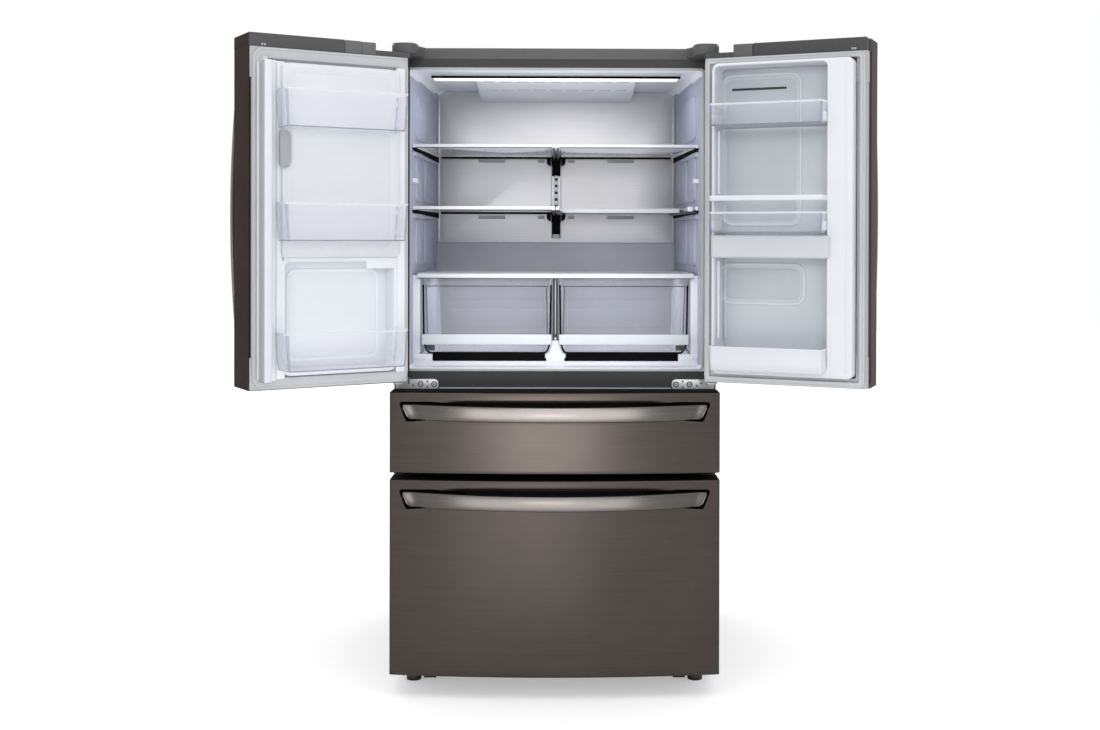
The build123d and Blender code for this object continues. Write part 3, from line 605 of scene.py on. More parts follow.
def drawer_bin(tag, y1, z0, z1, rail_z):
    p = Piece(tag + "_tub", tag)
    p.tub([(-378, 378, -6, y1 - 24, z0, 16), (-386, 386, -10, y1 - 12, z0 + 14, 22), (-392, 392, -12, y1 - 4, z1 - 16, 24),
           (-396, 396, -13.4, y1 - 1, z1 - 12, 24), (-398, 398, -14, y1, z1 - 3, 24), (-397, 397, -13.8, y1 - 0.5, z1, 23)], 3.0, WHITE, n=6)
    for k in range(7):
        x = -300 + 100 * k
        p.box(x - 3, x + 3, 20, y1 - 60, z0 + 1, z0 + 6, WHITE, 1.5, 2)
    for s in (-1, 1):
        p.box(min(s * 389, s * 404), max(s * 389, s * 404), 8, y1 - 20, rail_z, rail_z + 16, GALV, 1.5, 2)
    p.make(tag + "_bin", slot="white_liner")


drawer_bin("mid_drawer", 530, 640, 786, 700)
drawer_bin("freezer_drawer", 470, 118, 470, 330)


# ------------------------------------------------------------------ top covers and hinges
p = Piece("top_cover_strip", "cabinet")
prof = rnd([(64, 1749.5, 2), (1.6, 1749.5, 1), (1.6, 1753, 0), (0.2, 1753, 1.5), (0.2, 1779, 6), (10, 1784.6, 8), (64, 1784.6, 6)])
p.pill(prof, "yz", -392, 392, DARK, 1.0, 2)
for x in (-220, -110, 0, 110, 220):
    p.box(x - 16, x + 16, 24, 52, 1784.0, 1785.0, DARK, 0.4, 2)
for s in (-1, 1):
    lobe = rnd([(s * q[0], q[1], q[2]) for q in [(-450, -96, 34), (-380, -96, 36), (-379, -22, 22), (-352, 30, 20), (-331, 42, 8), (-331, 112, 12), (-450, 112, 12)]], n=7)
    p.pill(lobe, "xy", 1756.0, 1785.0, DARK, 4.0, 4)
    base = rnd([(s * q[0], q[1], q[2]) for q in [(-450, 0.4, 2), (-364, 0.4, 6), (-345, 30, 12), (-331, 36, 6), (-331, 111, 10), (-450, 111, 10)]], n=5)
    p.pill(base, "xy", 1747.5, 1760.0, DARK, 1.0, 2)
    p.disc(s * 412, 66, 0, 6.5, 1784.2, 1785.0, BLACK, "xy", 0.3)
    p.disc(s * 412, 66, 0, 4.6, 1784.4, 1785.0, ZINC, "xy", 0.2)
p.make("top_covers", slot="dark_plastic")


p = Piece("hinge_plates", "cabinet")
for s in (-1, 1):
    m = lambda a, b: (min(s * a, s * b), max(s * a, s * b))
    plate = rnd([(s * q[0], q[1], q[2]) for q in [(-446, 826, 4), (-327, 826, 15), (-327, 856, 15), (-446, 856, 4)]], n=7)
    p.pill(plate, "xz", -3.0, 0.0, ZINC, 0.8, 2)
    p.pill(offset(plate, 1.6), "xz", -1.2, -0.05, SLATE_AND_SHADE, 0.3, 1)
    for x in (377, 339):
        p.disc(s * x, 0, 842, 8.2, -3.5, -2.4, SLATE_AND_SHADE, "xz", 0.3)
        p.disc(s * x, 0, 842, 2.0, -6.0, -5.0, SLATE_AND_SHADE, "xz", 0.2)
    for x, z in ((358, 834), (358, 850), (398, 838), (410, 845)):
        p.disc(s * x, 0, z, 2.6, -3.3, -2.4, SLATE_AND_SHADE, "xz", 0.2)
    arm = rnd([(s * q[0], q[1], q[2]) for q in [(-446, -86, 12), (-414, -86, 12), (-414, -18, 8), (-398, -2.4, 6), (-446, -2.4, 1)]], n=5)
    p.pill(arm, "xy", 851.0, 856.0, ZINC, 0.8, 2)
    p.disc(s * 436, -70, 0, 5.0, 855, 881, ZINC, "xy", 1.0)
    p.disc(s * 436, -70, 0, 8.5, 855.5, 858.0, ZINC, "xy", 0.6)
    a, b = m(447, 398)
    p.box(a, b, 4, 84, 1749, 1782, ZINC, 1.2, 2)
    a, b = m(447, 412)
    p.box(a, b, -86, 5, 1777, 1781.8, ZINC, 1.2, 2)
    p.disc(s * 436, -70, 0, 5.0, 1741, 1778, ZINC, "xy", 1.0)
p.make("door_hinges", slot="zinc")

# painted shade: dark strips in the gaps between the fronts; and the bright lower edge of the cross rail
p = Piece("front_gap_strips", "cabinet")
p.box(-447, 447, -1.0, -0.1, 574, 627, BLACK_AND_SHADE, 0.3, 1)
p.box(-447, 447, -1.0, -0.1, 44, 100, BLACK_AND_SHADE, 0.3, 1)
p.box(-325, 325, -1.4, -0.1, 825, 832.5, BLUELINE, 0.4, 2)
p.make(slot="case_paint")

# ------------------------------------------------------------------ cavity
def cav_x(y):
    return 416.0 + (386.0 - 416.0) * y / 650.0


def cav_ring(y, grow, r):
    w = cav_x(y) + grow
    rr4 = (r * 0.55, r * 0.55, r, r)
    return [(a, y, b) for a, b in rr(-w, w, 880 - grow, 1727 + grow, rr4, 7)]


p = Piece("fridge_cavity", "cabinet")
ys_in = [2.2, 6, 20, 60, 130, 220, 320, 420, 520, 586, 622, 640, 648]
rad = [12, 13, 15, 18, 20, 22, 24, 27, 30, 34, 38, 42, 46]
inner = []
for y, r in zip(ys_in, rad):
    g = 0.0
    if y > 610:
        g = -((y - 610) / 38.0) ** 2 * 6
    if y < 5:
        g = 2.0
    inner.append(cav_ring(y, g, r))
inner.append(cav_ring(650, -14, 40))
outer = [cav_ring(y, 2.4, r + 2) for y, r in zip([1.7] + ys_in[1:], rad)][::-1]
outer = [cav_ring(652, -10, 42)] + outer
p.loft(outer + inner, WHITE)
# painted shade: the side walls behind the front strip get the darker bluish colour
p.paint(lambda c, n: abs(n.x) > 0.45 and c.y > 36 and 890 < c.z < 1712, WALL_SHADE)
p.mould(-411, 411, 885, 1722, 9, [(0.3, 2.0), (5.6, 1.5), (6.6, 0.9), (6.6, 0.2), (5.2, -0.3), (1.4, 0.1), (0.2, 1.2)], LIGHT_GREY_AND_HIGHLIGHT, n=6)
p.make("fridge_liner", slot="white_liner")


def wall_pill(p, s, pts, h, mat, r=1.2):
    """A raised panel on the cavity's side wall; points are (depth, height)."""
    rings = []
    for d, up in ((0.0, -0.6), (0.0, h - r), (-r * 0.3, h - r * 0.3), (-r, h)):
        rings.append([(s * (cav_x(a) - up), a, b) for a, b in offset(pts, d)])
    p.loft(rings, mat)


# the raised panels on the side walls take the same painted shade as the walls
p = Piece("cavity_ribs", "cabinet")
for s in (-1, 1):
    for z0, z1 in ((1358, 1488), (1172, 1306)):
        wall_pill(p, s, rr(150, 300, z0, z1, 14), 4.0, WALL_SHADE)
        wall_pill(p, s, rr(322, 560, z0, z1, 14), 4.0, WALL_SHADE)
    wall_pill(p, s, rr(150, 560, 1540, 1668, 18), 4.0, WALL_SHADE)
    wall_pill(p, s, rr(98, 134, 1410, 1424, 4), 13.0, PALE, 2.5)
    for z in (1502, 1323):
        wall_pill(p, s, rr(104, 590, z - 15, z - 1.0, 3), 7.0, WALL_SHADE, 2.0)
    wall_pill(p, s, rr(60, 84, 930, 1140, 4), 3.0, WALL_SHADE)
    for z in (1000, 1034, 1068, 1102):
        wall_pill(p, s, rr(34, 40, z, z + 7, 2), 0.9, LIGHT_GREY_AND_HIGHLIGHT, 0.4)
p.make(slot="white_liner")

p = Piece("ceiling_duct", "cabinet")
rings = []
for y, w, z in ((207, 236, 1726.8), (216, 240, 1722), (300, 242, 1716), (318, 243, 1711), (430, 244, 1706), (448, 245, 1700), (598, 246, 1693)):
    rings.append([(a, y, b) for a, b in rr(-w, w, z, 1729, (10, 10, 0.5, 0.5), 5)])
p.loft(rings, WHITE)
for y0, y1, z in ((215, 296, 1718.4), (328, 426, 1708.2)):
    for k in range(9):
        x = -200 + 50 * k
        p.box(x - 17, x + 17, (y0 + y1) / 2 - 3, (y0 + y1) / 2 + 3, z - 1.2, z + 1.5, LIGHT_GREY_AND_HIGHLIGHT, 0.6, 2)
p.make(slot="white_liner")

p = Piece("duct_panel_steel", "cabinet")
px = cav_x(605) - 0.6
p.pill(rr(-px, px, 1236, 1726.5, 6), "xz", 600.0, 604.0, STEEL, 1.2, 3)
tools = []
for z0, z1 in ((1496, 1506), (1313, 1324)):
    for x0, x1 in ((-253, -166), (-60, -38), (38, 60), (166, 253)):
        c = Piece("t", "cabinet")
        c.pill(rr(x0, x1, z0, z1, 2.5), "xz", 590, 612, LIGHT_GREY_AND_HIGHLIGHT, 0.1, 1)
        tools.append(c)
d = p.make("duct_panels", slot="steel_panel", cut=tools)
q = Piece("duct_panel_back", "cabinet")
for z0, z1 in ((1496, 1506), (1313, 1324)):
    for x0, x1 in ((-253, -166), (-60, -38), (38, 60), (166, 253)):
        q.box(x0 - 3, x1 + 3, 604.0, 607.0, z0 - 3, z1 + 3, REAR, 0.6, 2)
        q.box(x0 + 1, x1 - 1, 601.6, 604.0, z0 + (z1 - z0) * 0.52, z1 - 1, LIGHT_GREY_AND_HIGHLIGHT, 0.5, 2)
q.pill(rr(-px, px, 880.5, 1235.4, 4), "xz", 600.4, 604.0, REAR, 1.0, 2)
for z in (960, 1050):
    q.box(-px + 40, px - 40, 598.6, 600.6, z, z + 60, REAR, 1.0, 2)
for s in (-1, 1):
    q.box(min(s * (px - 9), s * (px - 3)), max(s * (px - 9), s * (px - 3)), 598.6, 600.4, 1242, 1720, STEEL, 0.8, 2)
q.disc(0, 620, 1400, 4.0, 604, 642, GALV, "xz", 0.6)
q.make(slot="steel_panel")

p = Piece("lamp_bar", "cabinet")
p.pill(rr(108, 200, 1716.6, 1727, (4, 4, 1, 1)), "yz", -360, 360, WHITE, 2.0, 3)
p.box(-355, 355, 113, 196, 1714.2, 1718, LAMP, 1.2, 2)
# painted shade: a near-black strip along the lamp's front edge
p.box(-359, 359, 101.0, 112.0, 1711.6, 1717.5, BLACK_AND_SHADE, 1.0, 2)
p.make("light_bar", slot="lamp")

p = Piece("shelf_ladder_rail", "cabinet")
for sd in (-1, 1):
    p.box(sd * 10.2 - 5.6, sd * 10.2 + 5.6, 592, 600, 1251, 1538, STEEL, 1.6, 3)
p.box(-5.4, 5.4, 596.5, 600, 1251, 1538, SLATE_AND_SHADE, 0.8, 2)
for z in range(1262, 1530, 22):
    p.box(-5.4, 5.4, 592.5, 599, z - 14, z, STEEL, 1.0, 2)
for z0, z1, zt in ((1452, 1486, 1537), (1251.5, 1296, 1337)):
    for sd in (-1, 1):
        p.box(sd * 9.6 - 4.2, sd * 9.6 + 4.2, 588.8, 594, z0, z1 + 6, BLACK_AND_SHADE, 1.6, 3)
        p.pill(rnd([(sd * 3.2, z1, 2), (sd * 15.2, z1 + 4, 4), (sd * 15.2, zt, 2), (sd * 3.2, zt, 2)]), "xz", 586.5, 595, BLACK_AND_SHADE, 1.8, 3)
    p.box(-6, 6, 590.5, 595, z0 + 2, zt, BLACK_AND_SHADE, 1.2, 2)
p.pill(rr(-12, 12, 1251, 1264, 4), "xz", 588.4, 596, GALV, 1.4, 3)
p.make("shelf_ladder", slot="black_gloss")


# ------------------------------------------------------------------ shelves
def wall_in(y):
    return cav_x(y) - 0.6


def shelf_half(tr, gl, z0, z1, s, pane_y0=100.0, front_bar=True):
    a, b = wall_in(88), wall_in(588)
    sl = (a - b) / 500.0
    o = lambda y: a - sl * (y - 88)
    arm = [(s * -o(88), 88, 3), (s * (-o(88) + 9), 88, 1.5), (s * (-o(588) + 9), 588, 1.5), (s * -o(588), 588, 3)]
    tr.pill(rnd(arm), "xy", z0 + 4, z1, TRIM, 1.4, 3)
    rings = []
    for y, drop in ((90, 1.5), (110, 4.5), (300, 8.5), (470, 11.5), (588, 13.0)):
        xa, xb = -o(y) + 0.8, -o(y) + 8.4
        rings.append([(s * a, y, b) for a, b in rr(xa, xb, z0 - drop, z0 + 4.6, 0.8, 2)])
    tr.loft(rings, BLACK_AND_SHADE)
    tr.box(min(s * -10.5, s * -1.5), max(s * -10.5, s * -1.5), 88, 588, z0 + 4, z1, TRIM, 1.4, 3)
    tr.pill(rnd([(110, z0 + 4.6, 1), (110, z0 + 0.4, 1.5), (470, z0 - 4, 4), (588, z0 - 4, 3), (588, z0 + 4.6, 1)]), "yz",
            min(s * -8.5, s * -3.5), max(s * -8.5, s * -3.5), SLATE_AND_SHADE, 0.8, 2)
    if front_bar:
        prof = rnd([(88, z0 + 5.0, 2), (100, z0 + 6.0, 1), (100, z1, 1), (90, z1, 2.5), (88, z1 - 3, 1.5)])
        x0, x1 = -o(88) + 8.6, -10.2
        tr.pill(prof, "yz", min(s * x0, s * x1), max(s * x0, s * x1), TRIM, 0.6, 2)
        tr.box(min(s * x0, s * x1), max(s * x0, s * x1), 90.4, 99.4, z0 + 3.6, z0 + 5.6, SLATE_AND_SHADE, 0.6, 2)
    pts = [(s * (-o(pane_y0) + 8.8), pane_y0), (s * -10.4, pane_y0), (s * -10.4, 588), (s * (-o(588) + 8.8), 588)]
    gl.pill(rnd(pts, 2.0), "xy", z1 - 6, z1 - 2, GLASS, 0.9, 2)


tr, gl = Piece("shelf_frames", "cabinet"), Piece("shelf_panes", "cabinet")
shelf_half(tr, gl, 1507, 1521, 1)
shelf_half(tr, gl, 1507, 1521, -1)
shelf_half(tr, gl, 1328, 1343, 1)
shelf_half(tr, gl, 1328, 1343, -1, 344.0, False)
tr.box(1.5, 20, 92, 586, 1324, 1328, SLATE_AND_SHADE, 0.9, 2)
tr.pill(rnd([(368, 92, 2), (wall_in(92), 92, 2), (wall_in(586), 586, 2), (368, 586, 2)]), "xy", 1324, 1328, SLATE_AND_SHADE, 0.9, 2)
tr.box(cav_x(588) - 9.0, 395, 88, 108, 1329, 1342.5, TRIM, 3.0, 3)
# shelf 1 and 2 back rail and bracket knobs on the ladder
for z in (1507, 1328):
    for s in (-1, 1):
        tr.box(min(s * 12, s * 372), max(s * 12, s * 372), 581, 588, z + 0.5, z + 7.0, BLACK_AND_SHADE, 1.2, 2)
        tr.pill(rnd([(s * 17.5, z - 26, 8), (s * 30, z - 14, 10), (s * 30, z + 5, 3), (s * 17.5, z + 5, 2)]), "xz", 566, 594, BLACK_AND_SHADE, 2.0, 3)
# crisper cover frame
cwf, cwb = cav_x(88) - 14, cav_x(588) - 4
prof = rnd([(88, 1136, 2.5), (100, 1138, 2), (100, 1149, 1), (91, 1149, 4), (88, 1144, 3)])
tr.pill(prof, "yz", -cwf, cwf, TRIM, 2.0, 3)
tr.box(-cwf + 2, cwf - 2, 89.4, 99.4, 1134.8, 1137, SLATE_AND_SHADE, 0.6, 2)
for s in (-1, 1):
    tr.pill(rnd([(s * cwf, 99, 2), (s * (cwf - 7), 99, 2), (s * (cwb - 7), 588, 2), (s * cwb, 588, 2)]), "xy", 1140, 1149.6, TRIM, 1.2, 2)
gl.pill(rnd([(-cwf + 6, 99.8), (cwf - 6, 99.8), (cwb - 6, 588), (-cwb + 6, 588)], 2.0), "xy", 1144.2, 1148.6, GLASS, 0.9, 2)
tr.make("shelf_trims", slot="shelf_trim")
gl.make("shelf_glass", slot="shelf_glass")

sx1 = cav_x(588) - 0.6 - 9.0 - 0.8
p = Piece("slide_shelf_half", "slide_shelf")
prof = rnd([(332, 1328.8, 2), (343, 1328.8, 1), (343, 1342.8, 1), (335, 1342.8, 4), (332, 1337, 3)])
p.pill(prof, "yz", 12, sx1, TRIM, 1.0, 2)
p.pill(rr(12.2, sx1 - 0.2, 342.6, 572, 2), "xy", 1328.7, 1332.6, GLASS, 0.9, 2)
for x in (12, sx1 - 8):
    p.box(x, x + 8, 342, 571, 1328.7, 1334.0, SLATE_AND_SHADE, 1.2, 2)
p.box(14, sx1 - 2, 333.5, 342, 1328.6, 1331.0, SLATE_AND_SHADE, 0.6, 2)
p.make("slide_shelf", slot="shelf_glass")


# ------------------------------------------------------------------ crispers
p = Piece("crisper_frame", "cabinet")
p.pill(rr(-8, 8, 880, 1144, 2), "xz", 105.5, 580, WHITE, 2.0, 3)
# painted shade: a dark strip down the post's front for the gap between the crispers, with a thin painted highlight line
# on it
p.box(-7.4, 7.4, 104, 108, 956, 1136, SLATE_AND_SHADE, 1.2, 2)
p.box(-1.4, 1.4, 103.2, 106, 975, 1134, LIGHT_GREY_AND_HIGHLIGHT, 0.5, 2)
p.disc(0, 106, 962, 3.4, 102.6, 105, ZINC, "xz", 0.8)
foot = [(26, 880, 2), (26, 916, 3), (17.5, 921, 3), (13.5, 936, 5), (10, 950, 3), (8, 957, 1)]
p.pill(rnd(foot + [(-q[0], q[1], q[2]) for q in foot[::-1]]), "xz", 104, 120, WHITE, 1.5, 2)
p.box(-372, 372, 106, 122, 880, 896, WHITE, 3.5, 4)
for s in (-1, 1):
    p.box(min(s * 8, s * 30), max(s * 8, s * 30), 112, 580, 904, 917, WHITE, 2.0, 3)
    led = [(s * (cav_x(104) - 0.3), 104, 1), (s * 372, 104, 4), (s * 372, 580, 3), (s * (cav_x(580) - 0.3), 580, 1)]
    p.pill(rnd(led), "xy", 904, 917, WHITE, 2.0, 3)
    p.pill(rnd([(s * (cav_x(107) - 0.4), 107, 1), (s * 355, 107, 3), (s * 355, 121, 3), (s * (cav_x(121) - 0.4), 121, 1)]), "xy", 880, 916.5, WHITE, 2.0, 3)
    lip = [(s * (cav_x(104) - 0.2), 104, 0.5), (s * 390, 104, 2), (s * 390, 110, 2), (s * (cav_x(110) - 0.2), 110, 0.5)]
    p.pill(rnd(lip), "xy", 917, 1144, WHITE, 1.5, 2)
    p.box(min(s * 386.5, s * 390.5), max(s * 386.5, s * 390.5), 106, 560, 922, 1140, REAR, 1.0, 2)
    # painted shade: a near-black strip under each ledge
    p.box(min(s * 25, s * 356), max(s * 25, s * 356), 117, 121, 890, 916.4, BLACK_AND_SHADE, 1.2, 2)
# painted shade: a dark floor under the crispers
p.box(-370, 370, 120, 580, 880, 884, SLATE_AND_SHADE, 1.2, 2)
p.make("crisper_rails", slot="white_liner")


def crisper(tag, s):
    m = lambda a, b: (min(s * a, s * b), max(s * a, s * b))
    p = Piece("crisper_%s_tub" % tag, "crisper_" + tag)
    lv = []
    for ins, yf, yb, z, r in ((20, 116, 24, 918, 8), (13, 111, 16, 921, 14), (9, 106, 12, 936, 14), (6, 103.5, 8, 990, 13), (2.5, 101, 3, 1112, 12), (1.5, 100.4, 2, 1122, 12),
                              (0.0, 100, 0, 1124, 12), (0.0, 100, 0, 1131, 12)):
        a, b = m(11 + ins, 382 - ins)
        lv.append((a, b, yf, 562 - yb, z, r))
    p.tub(lv, 3.0, CLEAR, n=5)
    # painted shade: dark lines round the lower front edge and up the sides, where the clear tub is seen edge-on
    rim = [(s * 380.5, 101.2, 1116), (s * 379.5, 101.4, 1040), (s * 378.5, 101.6, 958), (s * 376, 103.6, 942), (s * 372, 106.5, 930), (s * 366, 108.5, 922), (s * 360, 109.5, 920)]
    inr = [(s * 33, 109.5, 920), (s * 27, 108.5, 922), (s * 21.5, 106.5, 930), (s * 17.5, 103.6, 942), (s * 15.5, 101.6, 958), (s * 14, 101.4, 1040), (s * 12.8, 101.2, 1116)]
    p.tube(rim + inr, 2.7, BLACK_AND_SHADE)
    for x in (370, 24):
        p.tube([(s * (x - 2), 101.8, 976), (s * x, 100.6, 1040), (s * (x + 2), 99.9, 1110)], 1.1, SLATE_AND_SHADE)
    p.tube([(s * 374, 100.4, 1113), (s * 197, 99.9, 1113), (s * 20, 100.4, 1113)], 1.2, SLATE_AND_SHADE)
    a, b = m(11, 382)
    p.box(a + 14, b - 14, 99.6, 102.4, 1112, 1130, CLEAR, 1.2, 2)
    for x in (a + 22, b - 22):
        p.box(x - 1.6, x + 1.6, 99.4, 102.6, 980, 1110, CLEAR, 0.8, 2)
    p.make("crisper_" + tag, slot="clear_plastic")
    h = Piece("crisper_%s_bar" % tag, "crisper_" + tag)
    prof = rnd([(82, 946.2, 2), (85.2, 945.6, 1), (86.6, 968, 3), (100.4, 968.6, 0.5), (100.4, 974, 0.5), (84, 974, 3), (82, 971, 2)])
    h.pill(prof, "yz", a, b, PALE, 1.6, 3)
    for x in (a + 0.3, b - 4.3):
        h.box(x, x + 4, 85.5, 101.0, 946, 970, PALE, 1.0, 2)
    h.make("crisper_%s_handle" % tag, slot="light_plastic")
    k = Piece("humidity_%s_knob" % tag, "humidity_" + tag)
    ka, kb = m(346, 372)
    k.box(ka, kb, 93.5, 99.4, 928, 943, SLATE_AND_SHADE, 2.0, 3)
    k.box(ka + 9, kb - 9, 91, 96, 930, 941, SLATE_AND_SHADE, 1.6, 3)
    for i in range(3):
        k.box(ka + 4 + i * 8.2, ka + 5.6 + i * 8.2, 92.8, 94.5, 931, 940, DARK, 0.4, 2)
    k.make("humidity_slider_" + tag, slot="dark_plastic")


crisper("left", -1)
crisper("right", 1)


# ------------------------------------------------------------------ left door
def door_shell(tag, body, f, x0, x1, back, cuts=()):
    p = Piece(tag, body, f)
    p.pill(slab_pts(x0, x1, back), "xy", 872.2, 1739.8, BLACK_STEEL, 0.5, 2)
    # painted shade on the left door's side edges and back face, painted light on the right door's
    if f == "L":
        p.paint(lambda c, n: abs(n.x) > 0.9 or n.y > 0.9, EDGE_SHADE)
    else:
        p.paint(lambda c, n: abs(n.x) > 0.9 or n.y > 0.9, EDGE_LIT)
    return p


def door_caps(tag, body, f, s, back):
    """Moulded end caps: a long bar, separate pads towards the hinge, low beside the hinge cover, and a plain skirt below."""
    x0, x1 = (-450.0, -3.0) if s < 0 else (3.0, 450.0)
    p = Piece(tag, body, f)
    m = lambda a, b: (-b, -a) if s < 0 else (a, b)
    p.pill(slab_pts(x0, x1, back), "xy", 860.0, 872.6, CAP, 2.0, 3)
    step, pads = (350.0, ((263.0, 308.6), (309.8, 350.0))) if s < 0 else (366.0, ((312.0, 366.0),))
    a, b = m(3.0, pads[0][0] - 1.0)
    p.pill(slab_pts(a, b, back, 0.0, 4.0), "xy", 1739.4, 1775.0, CAP, 2.0, 3)
    for k, q in enumerate(pads):
        a, b = m(*q)
        p.pill(slab_pts(a, b, back + 0.2, 0.0, 4.0, 8), "xy", 1739.4, 1774.6 - k, DARK, 3.0, 3)
    a, b = m(step + 0.4, 450.0)
    p.pill(slab_pts(a, b, back, 0.0, 4.0, 10), "xy", 1739.4, 1754.0, CAP, 1.5, 3)
    # the caps' side faces by the free edge get the same painted shade or painted light edge colour
    p.paint(lambda c, n: abs(n.x) > 0.8 and abs(c.x) < 8, EDGE_SHADE if s < 0 else EDGE_LIT)
    return p


def cap_pads(p, s, back):
    """Two small light pads near the free corner."""
    for x in (37.5, 44.5):
        p.box(s * x - 2.6, s * x + 2.6, back - 0.5, back + 1.6, 1743, 1748.5, LIGHT_GREY_AND_HIGHLIGHT, 0.8, 2)
    return p


def ring_plate(p, out, inn, y0, y1, mat, e=0.7):
    """A flat frame between two rounded rectangles (x0, x1, z0, z1, r)."""
    big = lambda d, c: [(a, c, b) for a, b in rr(out[0] + d, out[1] - d, out[2] + d, out[3] - d, out[4], 5)]
    small = lambda d, c: [(a, c, b) for a, b in rr(inn[0] - d, inn[1] + d, inn[2] - d, inn[3] + d, inn[4], 5)]
    p.loft([big(0, y0), big(0, y1 - e), big(e * 0.3, y1 - e * 0.3), big(e, y1), small(e, y1), small(e * 0.3, y1 - e * 0.3), small(0, y1 - e), small(0, y0)], mat, loop=True)


cap_pads(door_caps("left_door_end_caps", "left_door", "L", -1, -14.0), -1, -14.0).make("left_door_caps", slot="dark_plastic")

tool = Piece("t", "left_door", "L")
tool.pill(rr(-330, -130, 1000, 1340, 12), "xz", -190, -77.6, BLACK_AND_SHADE, 0.1, 1)
well = Piece("t", "left_door", "L")
well.pill(rr(-404.5, -90, 899, 1697, 8), "xz", -66, 10, WHITE, 0.1, 1)
door_shell("left_door_outer", "left_door", "L", -450, -3, -16.0).make("left_door_skin", slot="black_stainless", cut=[tool, well])

p = Piece("left_door_inner", "left_door", "L")
# grey flange round the inner face, wider at the free corners
ring_plate(p, (-443.5, -9.2, 861.5, 1739.5, 3), (-405, -64, 901, 1697, 8), -17.0, -13.8, LIGHT_GREY_AND_HIGHLIGHT)
for z0, z1 in ((862.0, 945), (1660, 1739.4)):
    p.pill(rr(-36, -5.0, z0, z1, 2), "xz", -17.0, -12.8, LIGHT_GREY_AND_HIGHLIGHT, 0.8, 2)
# ice compartment rim and the lower dyke
IN = [(0.0, -62.0), (0.0, -4.0), (1.5, -2.0), (10.5, -2.0), (12.5, -3.5), (14.0, -8.0), (14.6, -14.5), (14.6, -17.0), (6.0, -17.0), (6.0, -62.0)]
p.mould(-397.5, -96.5, 1214.5, 1689.5, 10, IN, WHITE, n=5)
LO = [(0.0, -58.0), (-0.2, -10.0), (1.5, -2.5), (4.0, -0.3), (9.0, -0.3), (11.2, -2.0), (12.4, -8.0), (12.8, -17.0), (6.0, -17.0), (6.0, -58.0)]
p.mould(-397.5, -96.5, 906.5, 1189.5, 16, LO, WHITE, n=6)
p.pill(rr(-403, -91, 1208, 1696, 12), "xz", -63.5, -60.5, WHITE, 0.8, 2)
p.pill(rr(-403, -91, 900, 1196, 16), "xz", -61.5, -58.0, WHITE, 0.8, 2)
p.mould(-368, -126, 936, 1160, 16, [(0, -58.5), (0, -55.5), (3, -54.6), (9, -55.2), (10.4, -58.5)], WHITE, n=5)
# ledge between the two compartments
p.box(-411, -83.5, -14.5, -1.8, 1189, 1206, WHITE, 3.0, 3)
p.box(-404, -318, -6, -0.4, 1170, 1199, WHITE, 3.0, 3)
# free-side return and column
p.box(-95, -69, -15, -1.8, 888, 1704, WHITE, 3.5, 3)
p.box(-71, -42, -15, -3.0, 884, 1706, WHITE, 2.5, 3)
p.box(-71.6, -70.2, -4, -1.4, 890, 1700, LIGHT_GREY_AND_HIGHLIGHT, 0.4, 2)
p.box(-430.5, -405, -15, -2.6, 890, 1708, WHITE, 3.0, 3)
# bin hangers
for z in (930, 985):
    p.box(-404.5, -397.0, -30, -2.0, z, z + 16, WHITE, 1.5, 2)
    p.box(-97.0, -89.5, -30, -2.0, z, z + 16, WHITE, 1.5, 2)
p.make("left_door_liner", slot="white_liner")

p = Piece("left_door_seal", "left_door", "L")
SEAL_PROF = [(0, -14), (0, -7), (-0.8, -5.0), (-2.4, -4.2), (-5.6, -4.0), (-6.6, -5.2), (-7.6, -4.0), (-25, -3.6), (-27, -4.4), (-28.6, -7), (-29, -14)]
p.mould(-441, -11, 863.5, 1738, 30, SEAL_PROF, SEAL, n=5)
p.make("left_door_gasket", slot="gasket_grey")


def door_bar(tag, body, f, x0, x1):
    p = Piece(tag, body, f)
    rings, N, zm = [], 64, 1310.0
    for i in range(N + 1):
        u = -1 + 2 * i / N
        u = math.copysign(abs(u) ** 0.85, u)
        z = zm + 380 * u
        yo = arc_y(380 * u, 380, -134, -200)
        yi = arc_y(min(abs(380 * u), 346), 346, -134, -185)
        yi = max(yi, yo + 12)
        ring = []
        for a, b in rr(x0, x1, yo, yi, (3.4, 3.4, 2.5, 2.5), 3):
            crown = 1.4 * (1 - ((a - (x0 + x1) / 2) / ((x1 - x0) / 2)) ** 2) if b < (yo + yi) / 2 else 0
            ring.append((a, b - crown, z))
        rings.append(ring)
    p.loft(rings, HANDLE_V)
    return p


door_bar("left_door_bar", "left_door", "L", -53, -11).make("left_door_handle", slot="black_stainless")


